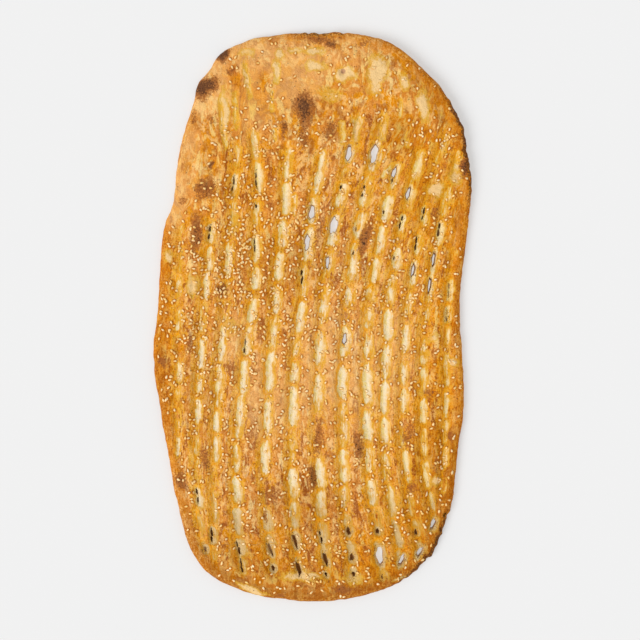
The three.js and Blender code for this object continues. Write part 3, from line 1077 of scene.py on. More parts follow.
def colour(red: float, green: float, blue: float) -> tuple[float, float, float, float]:
    """A screen colour from 0 to 255 as the linear colour that a shader takes.

    Args:
        red: its red.
        green: its green.
        blue: its blue.

    Returns:
        Red, green, blue and 1.
    """
    parts = [value / 255.0 for value in (red, green, blue)]
    linear = [p / 12.92 if p <= 0.04045 else ((p + 0.055) / 1.055) ** 2.4 for p in parts]
    return (*linear, 1.0)


class Blend(Enum):
    """How one colour is laid over another."""

    MIX = "MIX"
    MULTIPLY = "MULTIPLY"


@dataclass
class Tree:
    """A node tree under construction, with one short method for each kind of node that the finishes use."""

    tree: bpy.types.NodeTree

    def add(self, kind: str, **settings: object) -> Node:
        """Adds a node and sets its properties.

        Args:
            kind: the node's type.
            settings: its properties.

        Returns:
            The node.
        """
        node = self.tree.nodes.new(kind)
        for name, value in settings.items():
            setattr(node, name, value)
        return node

    def feed(self, socket: Socket, value: Socket | float | tuple) -> None:
        """Links a socket to another, or sets it to a plain value.

        Args:
            socket: the socket to feed.
            value: what feeds it.
        """
        if isinstance(value, bpy.types.NodeSocket):
            self.tree.links.new(value, socket)
        else:
            socket.default_value = value

    def mask(self, name: str) -> Socket:
        """The number that the mesh stores under a name."""
        return self.add("ShaderNodeAttribute", attribute_name=name).outputs["Fac"]

    def places(self) -> Socket:
        """Object coordinates in drawn millimetres.

        Returns:
            The coordinates.
        """
        scale = self.add("ShaderNodeVectorMath", operation="SCALE")
        self.feed(scale.inputs[0], self.add("ShaderNodeTexCoord").outputs["Object"])
        scale.inputs["Scale"].default_value = 1.0 / MM
        return scale.outputs["Vector"]

    def stretched(self, places: Socket, along: float, across: float = 1.0) -> Socket:
        """Places with y and x scaled, so that a pattern on them is drawn out where the factor is below 1.

        Args:
            places: the coordinates.
            along: the factor for y.
            across: the factor for x.

        Returns:
            The scaled coordinates.
        """
        stretch = self.add("ShaderNodeVectorMath", operation="MULTIPLY")
        self.feed(stretch.inputs[0], places)
        stretch.inputs[1].default_value = (across, along, 1.0)
        return stretch.outputs["Vector"]

    def follow(self, across: Socket, along: Socket | float, up: Socket | float = 0.0) -> Socket:
        """A vector from three numbers.

        Args:
            across: its x.
            along: its y.
            up: its z.

        Returns:
            The vector.
        """
        node = self.add("ShaderNodeCombineXYZ")
        for socket, value in zip(node.inputs, (across, along, up)):
            self.feed(socket, value)
        return node.outputs["Vector"]

    def part(self, vector: Socket, axis: str) -> Socket:
        """One of a vector's three numbers.

        Args:
            vector: the vector.
            axis: X, Y or Z.

        Returns:
            The number.
        """
        node = self.add("ShaderNodeSeparateXYZ")
        self.feed(node.inputs["Vector"], vector)
        return node.outputs[axis]

    def noise(
        self, places: Socket, size: float, detail: float = 3.0, roughness: float = 0.55,
        seed: float = 0.0, warp: float = 0.0,
    ) -> Socket:
        """Cloudy noise from 0 to 1, with features of about size, bent by warp.

        Args:
            places: where it is read.
            size: the features' size.
            detail: how many octaves it has.
            roughness: how much the fine ones weigh.
            seed: which noise of its kind it is.
            warp: how far it is bent.

        Returns:
            The noise.
        """
        node = self.add("ShaderNodeTexNoise", noise_dimensions="4D")
        self.feed(node.inputs["Vector"], places)
        node.inputs["W"].default_value = seed
        node.inputs["Distortion"].default_value = warp
        node.inputs["Scale"].default_value = 1.0 / size
        node.inputs["Detail"].default_value = detail
        node.inputs["Roughness"].default_value = roughness
        return node.outputs["Fac"]

    def cells(self, places: Socket, size: float) -> Socket:
        """Distance to the nearest of scattered points, about one to each cube of the given size.

        Args:
            places: where it is read.
            size: the spacing.

        Returns:
            The distance, as a share of the size.
        """
        node = self.add("ShaderNodeTexVoronoi", feature="F1")
        self.feed(node.inputs["Vector"], places)
        node.inputs["Scale"].default_value = 1.0 / size
        return node.outputs["Distance"]

    def step(self, value: Socket, low: float, high: float, bottom: float = 0.0, top: float = 1.0) -> Socket:
        """A smooth step from bottom, where value is low, to top, where it is high.

        Args:
            value: the number to read.
            low: where the step starts.
            high: where it ends.
            bottom: the result at low.
            top: the result at high.

        Returns:
            The step.
        """
        node = self.add("ShaderNodeMapRange", interpolation_type="SMOOTHSTEP")
        self.feed(node.inputs["Value"], value)
        limits = {"From Min": low, "From Max": high, "To Min": bottom, "To Max": top}
        for name, limit in limits.items():
            node.inputs[name].default_value = limit
        return node.outputs["Result"]

    def plus(self, a: Socket | float, b: Socket | float) -> Socket:
        """a + b."""
        return self.sums("ADD", a, b)

    def minus(self, a: Socket | float, b: Socket | float) -> Socket:
        """a - b."""
        return self.sums("SUBTRACT", a, b)

    def times(self, a: Socket | float, b: Socket | float) -> Socket:
        """a b."""
        return self.sums("MULTIPLY", a, b)

    def sums(self, operation: str, a: Socket | float, b: Socket | float) -> Socket:
        """A sum of two numbers, by the name of its operation.

        Args:
            operation: the name.
            a: the first number.
            b: the second.

        Returns:
            The result.
        """
        node = self.add("ShaderNodeMath", operation=operation)
        self.feed(node.inputs[0], a)
        self.feed(node.inputs[1], b)
        return node.outputs["Value"]

    def over(
        self, under: Socket | tuple, top: Socket | tuple, share: Socket | float, way: Blend = Blend.MIX
    ) -> Socket:
        """Lays one colour over another by a share.

        Args:
            under: the lower colour.
            top: the upper one.
            share: how much of it shows.
            way: how it is laid.

        Returns:
            The colour.
        """
        node = self.add("ShaderNodeMix", data_type="RGBA", blend_type=way.value, clamp_factor=True)
        self.feed(node.inputs[0], share)
        self.feed(node.inputs[6], under)
        self.feed(node.inputs[7], top)
        return node.outputs[2]

    def bump(self, height: Socket, depth: float, strength: float, below: Socket | None = None) -> Socket:
        """A bumped normal, of a depth in drawn millimetres.

        Args:
            height: the relief, from 0 to 1.
            depth: how deep it goes.
            strength: how much of it shows.
            below: a normal that it is added to.

        Returns:
            The normal.
        """
        node = self.add("ShaderNodeBump")
        node.inputs["Strength"].default_value = strength
        node.inputs["Distance"].default_value = depth * MM
        self.feed(node.inputs["Height"], height)
        if below is not None:
            self.feed(node.inputs["Normal"], below)
        return node.outputs["Normal"]

    def group(self, group: bpy.types.NodeTree, **values: Socket | float | tuple) -> Node:
        """Places a node group and feeds its inputs by name, with _ for a space.

        Args:
            group: the group.
            values: its inputs.

        Returns:
            The node.
        """
        node = self.add("ShaderNodeGroup", node_tree=group)
        for name, value in values.items():
            self.feed(node.inputs[name.replace("_", " ")], value)
        return node


def new_group(
    name: str, inputs: dict[str, str], outputs: dict[str, str]
) -> tuple[bpy.types.NodeTree, Tree, Node, Node]:
    """Starts a shader node group.

    Args:
        name: the group's name.
        inputs: each input's name and socket type.
        outputs: each output's name and socket type.

    Returns:
        The group, its tree for adding nodes, and its input and output nodes.
    """
    group = bpy.data.node_groups.new(name, "ShaderNodeTree")
    for way, sockets in (("INPUT", inputs), ("OUTPUT", outputs)):
        for title, kind in sockets.items():
            group.interface.new_socket(title, in_out=way, socket_type="NodeSocket" + kind)
    tree = Tree(group)
    return group, tree, tree.add("NodeGroupInput"), tree.add("NodeGroupOutput")


def new_material(name: str) -> tuple[bpy.types.Material, Tree, Node]:
    """Starts a material.

    Args:
        name: the material's name.

    Returns:
        The material, its tree for adding nodes, and its shader.
    """
    material = bpy.data.materials.new(name)
    material.use_nodes = True
    return material, Tree(material.node_tree), material.node_tree.nodes["Principled BSDF"]


def speckle_group() -> bpy.types.NodeTree:
    """Toasted speckle over a colour: fine cloudy noise pushes it lighter and darker by turns.

    Returns:
        The group, with inputs Places, Base, Light, Dark and Amount, and outputs Colour and Height.
    """
    inputs = {"Places": "Vector", "Base": "Color", "Light": "Color", "Dark": "Color", "Amount": "Float"}
    group, tree, given, put = new_group("toasted_speckle", inputs, {"Colour": "Color", "Height": "Float"})
    fine = tree.noise(given.outputs["Places"], 1.7, 2.0, 0.7)
    coarse = tree.noise(given.outputs["Places"], 5.5, 3.0, 0.6, 3.0, 0.6)
    both = tree.plus(tree.times(fine, 0.7), tree.times(coarse, 0.3))
    dark = tree.times(tree.step(both, 0.49, 0.38), given.outputs["Amount"])
    light = tree.times(tree.step(both, 0.51, 0.62), given.outputs["Amount"])
    shaded = tree.over(given.outputs["Base"], given.outputs["Dark"], dark)
    tree.feed(put.inputs["Colour"], tree.over(shaded, given.outputs["Light"], light))
    tree.feed(put.inputs["Height"], both)
    return group


@dataclass(frozen=True)
class CrustFinish:
    """Baked crust: tan ridges, amber glazed furrow sides, pale docks, scorches, a floury underside."""

    ridge: tuple = colour(226, 147, 64)
    ridge_brown: tuple = colour(170, 94, 38)
    ridge_gold: tuple = colour(234, 152, 0)
    peach: tuple = colour(250, 196, 126)
    wisp: tuple = colour(252, 220, 152)
    glint: tuple = colour(255, 204, 124)
    freckle: tuple = colour(160, 86, 24)
    # pooled: glaze pooled round a seed, and the painted shade there.
    pooled: tuple = colour(188, 102, 0)
    amber: tuple = colour(243, 161, 8)
    gold: tuple = colour(252, 192, 50)
    butter: tuple = colour(234, 174, 44)
    # Painted shade for the sunlit right slopes of the furrows.
    lit_side_painted_shade: tuple = (0.93, 0.91, 0.88, 1.0)
    crumb: tuple = colour(248, 206, 130)
    olive_painted_shade: tuple = colour(238, 212, 134)
    pale: tuple = colour(250, 230, 186)
    pale_cool: tuple = colour(246, 232, 208)
    foot_dough: tuple = colour(210, 176, 120)
    foot_butter: tuple = colour(212, 160, 56)
    bare: tuple = colour(244, 206, 146)
    fringe: tuple = colour(226, 176, 56)
    burn: tuple = colour(160, 94, 44)
    char: tuple = colour(98, 62, 42)
    soot: tuple = colour(46, 30, 24)
    ember: tuple = colour(200, 138, 74)
    # Painted shade in the poke, as if it were deep and unlit.
    poke_shade: tuple = colour(184, 138, 108)
    rim: tuple = colour(212, 128, 14)
    rim_light: tuple = colour(242, 176, 70)
    rim_foot: tuple = colour(176, 104, 26)
    # The singed line along the rim, partly painted shade.
    singe_and_shade: tuple = colour(98, 58, 26)
    deepened: tuple = (0.75, 0.68, 0.5, 1.0)
    gilded: tuple = (0.96, 0.80, 0.26, 1.0)
    under: tuple = colour(214, 170, 108)
    under_brown: tuple = colour(160, 104, 54)
    flour: tuple = colour(240, 228, 204)
    wall: tuple = colour(236, 204, 150)
    # Painted shade deep in the tears' walls.
    wall_painted_shade: tuple = colour(188, 146, 100)
    # Painted shade in blind tears: grey-brown away from the foot, brown near it.
    blind_tear_shade_grey: tuple = colour(156, 122, 84)
    blind_tear_shade: tuple = colour(142, 92, 42)
    shine: float = 0.05
    roughness: float = 0.55

    def make(self, speckle: bpy.types.NodeTree) -> bpy.types.Material:
        """Builds the material.

        Args:
            speckle: the toasted speckle group.

        Returns:
            The material.
        """
        material, tree, shader = new_material("crust")
        places = tree.places()
        grain = tree.follow(tree.mask("lane"), tree.part(places, "Y"), tree.part(places, "Z"))
        streaks = tree.noise(tree.stretched(grain, 0.3), 2.0, 3.0, 0.62)
        fray = tree.minus(tree.noise(places, 2.6, 3.0, 0.65, 5.0), 0.5)
        sooty = tree.minus(tree.noise(places, 1.7, 3.0, 0.8, 9.0), 0.5)
        glaze = tree.step(tree.plus(tree.mask("flank"), tree.times(fray, 2.0)), 0.25, 0.8)
        amber = tree.over(self.amber, self.gold, tree.step(streaks, 0.42, 0.56))
        base = tree.over(self._ridges(tree, places, grain, sooty), amber, tree.times(glaze, 0.66))
        grit = tree.step(tree.mask("open"), 0.0, 1.0, 0.58, 0.3)
        mottled = tree.group(
            speckle, Places=places, Base=base, Light=self.peach, Dark=self.freckle, Amount=grit
        )
        lit = tree.times(tree.step(streaks, 0.55, 0.64), grit)
        dull = tree.times(tree.step(streaks, 0.44, 0.36), grit)
        crust = tree.over(mottled.outputs["Colour"], self.glint, lit)
        crust = tree.over(crust, self.freckle, tree.times(dull, 0.7))
        crust = self._toned(tree, crust)
        crust = self._docked(tree, crust, places, grain, fray)
        # Painted shade: the sunlit right slope of each furrow is darkened a little.
        crust = tree.over(crust, self.lit_side_painted_shade, tree.mask("lit_side_painted_shade"), Blend.MULTIPLY)
        crust = self._burnt(tree, crust, places, sooty)
        # Painted shade: the tears' walls darken from pale crumb towards brown with depth.
        deep = tree.over(self.wall, self.wall_painted_shade, tree.step(tree.mask("wall"), 0.2, 0.9))
        crust = tree.over(crust, deep, tree.step(tree.mask("wall"), 0.0, 0.15))
        # Painted shade: blind tears are coloured dark, as if they were deep and unlit.
        crust = tree.over(crust, tree.over(self.blind_tear_shade_grey, self.blind_tear_shade, tree.mask("foot")), tree.mask("blind_tear_shade"))
        crust = tree.over(crust, self._underside(tree, places), tree.mask("under"))
        tree.feed(shader.inputs["Base Color"], crust)
        tree.feed(shader.inputs["Roughness"], self._roughness(tree, glaze, fray))
        tree.feed(shader.inputs["Normal"], self._normal(tree, places, streaks, mottled.outputs["Height"]))
        shader.inputs["Specular IOR Level"].default_value = self.shine
        return material

    def _ridges(self, tree: Tree, places: Socket, grain: Socket, sooty: Socket) -> Socket:
        """The ridges' colour: tan, in golden, peach, brown and pale patches, and banded along the rim.

        Args:
            tree: the material's tree.
            places: where the pattern is read.
            grain: places that follow the furrows.
            sooty: fine noise either side of 0, for burnt specks.

        Returns:
            The colour.
        """
        gild = tree.noise(tree.stretched(grain, 0.6), 12.0, 2.0, 0.5, 1.0, 1.2)
        blush = tree.noise(tree.stretched(grain, 0.5), 8.5, 2.0, 0.5, 2.0, 1.6)
        toasted = tree.noise(tree.stretched(grain, 0.5), 10.0, 2.0, 0.5, 3.0, 1.2)
        toasted = tree.plus(toasted, tree.times(sooty, 0.12))
        wisps = tree.noise(tree.stretched(grain, 0.25), 5.0, 3.0, 0.6, 4.0, 0.5)
        cream = tree.noise(tree.stretched(grain, 0.7), 12.0, 3.0, 0.5, 10.0, 2.0)
        gild = tree.plus(gild, tree.times(tree.mask("gilt"), 0.12))
        base = tree.over(self.ridge, self.ridge_gold, tree.step(gild, 0.52, 0.62, 0.0, 0.95))
        base = tree.over(base, self.peach, tree.step(blush, 0.52, 0.60, 0.0, 0.95))
        most = tree.step(tree.mask("open"), 0.0, 1.0, 0.95, 0.6)
        base = tree.over(base, self.ridge_brown, tree.times(tree.step(toasted, 0.525, 0.625), most))
        base = tree.over(base, self.wisp, tree.step(wisps, 0.565, 0.62, 0.0, 0.8))
        open_crust = tree.times(tree.mask("open"), tree.step(cream, 0.55, 0.68, 0.0, 0.8))
        base = tree.over(base, self.wisp, open_crust)
        browned = tree.times(tree.mask("open"), tree.step(cream, 0.47, 0.32, 0.0, 0.35))
        base = tree.over(base, self.ridge_brown, browned)
        across = tree.stretched(places, 0.14, 0.14)
        around = tree.follow(tree.part(across, "X"), tree.part(across, "Y"), tree.mask("edge"))
        banded = tree.noise(around, 2.4, 3.0, 0.6, 6.0, 0.3)
        rim = tree.over(self.rim, self.rim_light, tree.step(banded, 0.5, 0.62, 0.0, 0.8))
        rim = tree.over(rim, self.rim_foot, tree.times(tree.mask("foot"), 0.7))
        kept = tree.minus(1.0, tree.step(tree.mask("tone"), 0.2, 0.9))
        return tree.over(base, rim, tree.times(tree.times(tree.mask("rim"), kept), 0.75))

    def _toned(self, tree: Tree, crust: Socket) -> Socket:
        """The bake's slow changes over the loaf: golder where the glaze ran thick, lighter, or deeper.

        Args:
            tree: the material's tree.
            crust: the colour so far.

        Returns:
            The colour.
        """
        ragged = tree.noise(tree.places(), 16.0, 3.0, 0.6, 8.0)
        gilt = tree.times(tree.mask("gilt"), tree.step(ragged, 0.36, 0.58, 0.35, 1.0))
        crust = tree.over(crust, self.gilded, tree.times(gilt, 0.9), Blend.MULTIPLY)
        crust = tree.over(crust, self.peach, tree.step(tree.mask("tone"), 0.0, 1.0, 0.0, 0.4))
        deeper = tree.step(tree.mask("tone"), 0.0, -1.3, 0.0, 0.9)
        return tree.over(crust, self.deepened, deeper, Blend.MULTIPLY)

    def _docked(self, tree: Tree, crust: Socket, places: Socket, grain: Socket, fray: Socket) -> Socket:
        """Pale docks in fine streaks, with an amber crease at the left, seeds' halos, and bare patches.

        A seed's halo is glaze pooled round it, and painted shade.

        Args:
            tree: the material's tree.
            crust: the colour so far.
            places: where the pattern is read.
            grain: places that follow the furrows.
            fray: fine noise either side of 0, for ragged edges.

        Returns:
            The colour.
        """
        crease = tree.plus(tree.mask("crease"), tree.times(fray, 1.6))
        crust = tree.over(crust, self.amber, tree.step(crease, 0.25, 0.9, 0.0, 0.75))
        # Pooled glaze and painted shade round each seed, in golden brown.
        seed_pool_and_shade = tree.plus(tree.mask("seed_pool_and_shade"), tree.times(fray, 0.8))
        crust = tree.over(crust, self.pooled, tree.step(seed_pool_and_shade, 0.25, 0.9, 0.0, 0.75))
        drawn = tree.noise(tree.stretched(grain, 0.16), 2.2, 3.0, 0.6, 7.0)
        drawn = tree.times(tree.minus(drawn, 0.5), 2.4)
        cloudy = tree.noise(tree.stretched(grain, 0.6), 8.0, 3.0, 0.6, 11.0)
        cloudy = tree.times(tree.minus(cloudy, 0.5), 3.0)
        frayed = tree.plus(tree.plus(drawn, cloudy), tree.times(fray, 0.7))
        dock = tree.plus(tree.times(tree.mask("pale"), 1.15), frayed)
        kept = tree.step(tree.mask("pale"), 0.02, 0.2)
        # The docks' butter turns duller towards the foot.
        butter = tree.over(self.butter, self.foot_butter, tree.mask("foot"))
        crust = tree.over(crust, butter, tree.times(tree.step(dock, 0.0, 0.45, 0.0, 0.85), kept))
        crust = tree.over(crust, self._dough(tree, places), tree.times(tree.step(dock, 0.42, 1.2), kept))
        bare = tree.plus(tree.mask("bare"), tree.times(fray, 1.1))
        crust = tree.over(crust, self.fringe, tree.step(bare, 0.12, 0.35, 0.0, 0.6))
        return tree.over(crust, self.bare, tree.step(bare, 0.35, 0.8, 0.0, 0.9))

    def _burnt(self, tree: Tree, crust: Socket, places: Socket, sooty: Socket) -> Socket:
        """Scorches with sooty specks, the poke, the singed line along the rim, and a few dark specks.

        The poke's brown-grey is painted shade. The singed line is singed crust, darkened further by painted
        shade on the rim's shadow side.

        Args:
            tree: the material's tree.
            crust: the colour so far.
            places: where the pattern is read.
            sooty: fine noise either side of 0, for burnt specks.

        Returns:
            The colour.
        """
        scorch = tree.plus(tree.mask("scorch"), tree.times(sooty, 2.2))
        crust = tree.over(crust, self.burn, tree.step(scorch, 0.3, 0.68, 0.0, 0.85))
        crust = tree.over(crust, self.char, tree.step(scorch, 0.85, 1.2, 0.0, 0.85))
        scorched = tree.step(tree.mask("scorch"), 0.4, 0.9)
        crust = tree.over(crust, self.soot, tree.times(tree.step(sooty, 0.05, 0.13, 0.0, 0.85), scorched))
        ember = tree.times(tree.step(sooty, -0.07, -0.14, 0.0, 0.7), scorched)
        crust = tree.over(crust, self.ember, ember)
        # Painted shade: the poke is coloured brown-grey, as if it were deep and unlit.
        crust = tree.over(crust, self.poke_shade, tree.step(tree.mask("poke"), 0.4, 0.8, 0.0, 0.85))
        # Singed crust along the rim, darkened further by painted shade on its shadow side.
        singed_and_shaded = tree.plus(tree.mask("singed_and_shaded"), tree.times(sooty, 3.4))
        crust = tree.over(crust, self.singe_and_shade, tree.step(singed_and_shaded, 0.4, 1.0, 0.0, 0.9))
        flecks = tree.times(tree.step(sooty, 0.07, 0.12), tree.step(tree.mask("torn"), 0.1, 0.7))
        crust = tree.over(crust, self.char, tree.times(flecks, 0.85))
        specks = tree.step(tree.cells(places, 7.0), 0.13, 0.06)
        return tree.over(crust, self.char, tree.times(specks, 0.6))

    def _dough(self, tree: Tree, places: Socket) -> Socket:
        """The docks' pale dough: olive cream at the left as painted shade, cream, then peach where it climbs to
        the right.

        Args:
            tree: the material's tree.
            places: where the pattern is read.

        Returns:
            The colour.
        """
        cloud = tree.step(tree.noise(places, 4.0, 3.0), 0.42, 0.65, 0.0, 0.6)
        # Painted shade: the dock's left side, which faces away from the light, is olive.
        across = tree.over(self.olive_painted_shade, self.pale, tree.step(tree.mask("lean"), 0.15, 0.42))
        across = tree.over(across, self.crumb, tree.step(tree.mask("lean"), 0.55, 0.9))
        dough = tree.over(across, self.pale_cool, cloud)
        gilt = tree.times(tree.mask("gilt"), 0.35)
        dough = tree.over(dough, self.gilded, gilt, Blend.MULTIPLY)
        # The docks' dough turns duller and darker towards the foot.
        return tree.over(dough, self.foot_dough, tree.times(tree.mask("foot"), 0.8))

    def _underside(self, tree: Tree, places: Socket) -> Socket:
        """The oven side: tan, with brown spots where it met the hot floor, and a dusting of flour.

        Args:
            tree: the material's tree.
            places: where the pattern is read.

        Returns:
            The colour.
        """
        spots = tree.step(tree.noise(places, 9.0, 5.0, 0.62), 0.5, 0.68)
        dust = tree.step(tree.noise(tree.stretched(places, 0.8), 3.0, 6.0, 0.7), 0.52, 0.7, 0.0, 0.55)
        return tree.over(tree.over(self.under, self.under_brown, spots), self.flour, dust)

    def _roughness(self, tree: Tree, glaze: Socket, fray: Socket) -> Socket:
        """Glazed furrow sides shine a little, docks and burns are matt.

        Args:
            tree: the material's tree.
            glaze: where the furrow sides are glazed.
            fray: fine noise either side of 0, for ragged edges.

        Returns:
            The roughness.
        """
        shine = tree.times(glaze, 0.18)
        matt = tree.times(tree.mask("pale"), 0.15)
        rough = tree.plus(tree.minus(self.roughness, shine), matt)
        return tree.plus(rough, tree.times(fray, 0.35))

    def _normal(self, tree: Tree, places: Socket, streaks: Socket, speckle: Socket) -> Socket:
        """Fine skin: pores and grains, then streaks drawn along the loaf, then soft blisters.

        Args:
            tree: the material's tree.
            places: where the pattern is read.
            streaks: noise drawn out along the furrows.
            speckle: the speckle's relief.

        Returns:
            The normal.
        """
        fine = tree.bump(tree.noise(places, 1.0, 4.0, 0.65), 0.6, 0.9)
        drawn = tree.bump(streaks, 0.9, 0.6, fine)
        blisters = tree.bump(tree.step(tree.cells(places, 3.4), 0.0, 0.6), 0.4, 0.3, drawn)
        return tree.bump(speckle, 1.5, 0.8, blisters)


@dataclass(frozen=True)
class SesameFinish:
    """Hulled sesame: cream, toasted to gold on some seeds, with a soft shine."""

    cream: tuple = colour(255, 246, 204)
    gold: tuple = colour(250, 210, 112)
    toast: tuple = colour(222, 148, 36)

    def make(self, speckle: bpy.types.NodeTree) -> bpy.types.Material:
        """Builds the material.

        Args:
            speckle: the toasted speckle group.

        Returns:
            The material.
        """
        material, tree, shader = new_material("sesame")
        body = tree.over(self.cream, self.gold, tree.mask("toast"))
        # The tip mask browns the pointed tip, which is toasted, and the sides and underside, which is painted
        # shade.
        tip = tree.over(body, self.toast, tree.times(tree.mask("tip"), 0.85))
        places = tree.places()
        dotted = tree.group(speckle, Places=places, Base=tip, Light=self.cream, Dark=self.toast, Amount=0.2)
        tree.feed(shader.inputs["Base Color"], dotted.outputs["Colour"])
        tree.feed(shader.inputs["Roughness"], tree.step(tree.mask("toast"), 0.0, 1.0, 0.38, 0.5))
        tree.feed(shader.inputs["Normal"], tree.bump(dotted.outputs["Height"], 0.2, 0.4))
        return material


# ---- Sesame ----

# Where a hand let more seeds fall, above 0, or fewer, below 0, for each 1,000 square millimetres.
HEAPS = spots(
    (-58, 92, 40, 58, 0, 26.0), (-70, 14, 66, 50, 0, 20.0), (5, 115, 45, 50, 0, 2.0),
    (92, 62, 42, 48, 0, 2.0), (78, -125, 40, 38, 0, 6.0), (100, -172, 36, 30, 0, 5.0),
    (10, -262, 22, 12, 0, 3.0), (-114, 58, 11, 11, 0, 22.0), (-90, 40, 12, 10, 0, 22.0),
    (-32, -30, 14, 10, 0, 12.0), (-150, 60, 14, 80, 0, -5.0), (-122, 175, 30, 80, 0, -14.0),
    (-120, -225, 40, 40, 0, -5.0), (20, -225, 110, 30, 0, 2.0), (-40, -70, 60, 50, 0, 4.0),
    (0, 235, 130, 50, 0, -6.0), (-20, -275, 120, 12, 0, -4.0), (148, 20, 12, 120, 0, -5.0),
    (65, 215, 60, 60, 0, -3.5), (60, 150, 50, 30, 0, -2.5), (-7, 209, 15, 15, 0, -12.0),
)


@dataclass(frozen=True)
class Sesame:
    """The seeds: how thickly they lie, for each 1,000 square millimetres, and the size of one.

    edge_gap and tear_gap are how far they keep from the rim and from a tear, shy the share of them that a
    pale dock turns away, tilt how unevenly they lie, and proud the share of a half thickness that their middles
    stand above the crust.
    """

    plan: Plan
    relief: Relief
    thickest: float = 56.0
    usual: float = 11.4
    length: float = 3.9
    width: float = 2.4
    thickness: float = 0.95
    sides: int = 8
    rings: int = 4
    seed: int = 19
    edge_gap: float = 3.5
    tear_gap: float = 1.8
    shy: float = 0.45
    tilt: float = 0.12
    proud: float = 0.9

    def density(self, x: Array, y: Array) -> Array:
        """Seeds for each 1,000 square millimetres: an even share, and heaps where a hand let more fall.

        Args:
            x: across the loaf.
            y: along it.

        Returns:
            The density at each point.
        """
        even = self.usual + sum(heap.at(x, y) for heap in HEAPS)
        return np.maximum(even, 0.0) * (1.0 + 0.5 * Grain(20.0, 81, 2).at(x, y)) * smooth(300.0, 240.0, y)

    def places(self) -> Array:
        """Where the seeds lie: random places kept by density, clear of the edge and of the tears.

        Returns:
            One row of x and y for each seed.
        """
        random = np.random.default_rng(self.seed)
        tries = int(self.thickest * self.plan.width * self.plan.length / 1000.0)
        x = random.uniform(-self.plan.width / 2, self.plan.width / 2, tries)
        y = random.uniform(-self.plan.length / 2, self.plan.length / 2, tries)
        chance = random.uniform(0.0, self.thickest, tries)
        survey = Survey(self.plan, x, y)
        keep = self.plan.holds(x, y) & (survey.edge > self.edge_gap) & (chance < self.density(x, y))
        keep &= self.plan.tear_nearness(x, y, self.tear_gap) > 1.0
        keep &= random.uniform(0.0, 1.0, tries) > self.shy * survey.pale
        return np.column_stack([x[keep], y[keep]])

    def build(self) -> bpy.types.Object:
        """Makes all the seeds as one joined mesh.

        A seed is an ellipsoid whose width grows towards its blunt end: at s from -1 at the tip to 1, its
        radius is (1 - s^2)^0.4 (1 + 0.28 s). It is turned by a random heading and laid square to the crust.

        Returns:
            The seeds, with masks for their toast, and for their toasted tips and the painted shade on their
            sides.
        """
        x, y = self.places().T
        random = np.random.default_rng(self.seed + 1)
        count = len(x)
        z, normal = self._ground(x, y)
        heading = random.uniform(0.0, 2.0 * np.pi, count)
        forward = np.stack([np.cos(heading), np.sin(heading), np.zeros(count)], axis=1)
        normal = normal + random.normal(0.0, self.tilt, (count, 3))
        normal /= np.linalg.norm(normal, axis=1)[:, None]
        forward -= normal * np.sum(forward * normal, axis=1)[:, None]
        forward /= np.linalg.norm(forward, axis=1)[:, None]
        aside = np.cross(normal, forward)
        whole = np.array([self.length, self.width, self.thickness])
        sizes = random.uniform(0.85, 1.12, (count, 3)) * whole / 2.0
        middle = np.column_stack([x, y, z]) + normal * (sizes[:, 2:] * self.proud)
        form, faces = self._seed_form()
        scaled = form[None] * sizes[:, None, :]
        points = middle[:, None] + scaled[..., 0:1] * forward[:, None] + scaled[..., 1:2] * aside[:, None]
        points = points + scaled[..., 2:3] * normal[:, None]
        numbers = (faces[None] + (np.arange(count) * len(form))[:, None, None]).reshape(-1, faces.shape[1])
        seeds = new_object("sesame", points.reshape(-1, 3), self._trimmed(numbers))
        toast = np.clip(random.beta(1.5, 1.5, count), 0.0, 1.0)
        set_mask(seeds.data, "toast", np.repeat(toast, len(form)))
        # Toasted at the pointed tip. Below the upper cap, painted shade on the sides and underside.
        tip = np.maximum(smooth(-0.2, -0.95, form[:, 0]), smooth(1.0, 0.5, form[:, 2]))
        set_mask(seeds.data, "tip", np.tile(tip, count))
        return seeds

    def _ground(self, x: Array, y: Array) -> tuple[Array, Array]:
        """The crust's height and normal, from its slopes over one millimetre each way.

        Args:
            x: across the loaf.
            y: along it.

        Returns:
            The height and the normal at each point.
        """
        z = self.relief.top(Survey(self.plan, x, y))
        slope_x = self.relief.top(Survey(self.plan, x + 1.0, y)) - z
        slope_y = self.relief.top(Survey(self.plan, x, y + 1.0)) - z
        normal = np.stack([-slope_x, -slope_y, np.ones(len(x))], axis=1)
        return z, normal / np.linalg.norm(normal, axis=1)[:, None]

    def _seed_form(self) -> tuple[Array, Array]:
        """One seed of half sizes 1: two poles and the rings between.

        Returns:
            Its vertices and its faces, of four corners each. A pole's faces repeat it as their last corner.
        """
        s = -np.cos((np.arange(self.rings) + 1) / (self.rings + 1) * np.pi)
        turn = np.arange(self.sides) / self.sides * 2.0 * np.pi
        radius = np.sqrt(1.0 - s * s) ** 0.8 * (1.0 + 0.28 * s)
        wide, high = np.outer(radius, np.cos(turn)), np.outer(radius, np.sin(turn))
        body = np.stack([np.repeat(s, self.sides), wide.ravel(), high.ravel()], axis=1)
        form = np.vstack([body, [[-1.0, 0.0, 0.0], [1.0, 0.0, 0.0]]])
        ring = np.arange(self.sides)
        after = np.roll(ring, -1)
        tip, end = np.full(self.sides, len(body)), np.full(self.sides, len(body) + 1)
        faces = [np.stack([after, ring, tip, tip], axis=1)]
        for level in range(self.rings - 1):
            low, high = level * self.sides, (level + 1) * self.sides
            faces.append(np.stack([low + ring, low + after, high + after, high + ring], axis=1))
        last = (self.rings - 1) * self.sides
        faces.append(np.stack([last + ring, last + after, end, end], axis=1))
        return form, np.vstack(faces)

    @staticmethod
    def _trimmed(faces: Array) -> list:
        """The faces as lists, without a pole's repeated corner."""
        return [face[:3] if face[2] == face[3] else face for face in faces.tolist()]


# ---- The room ----


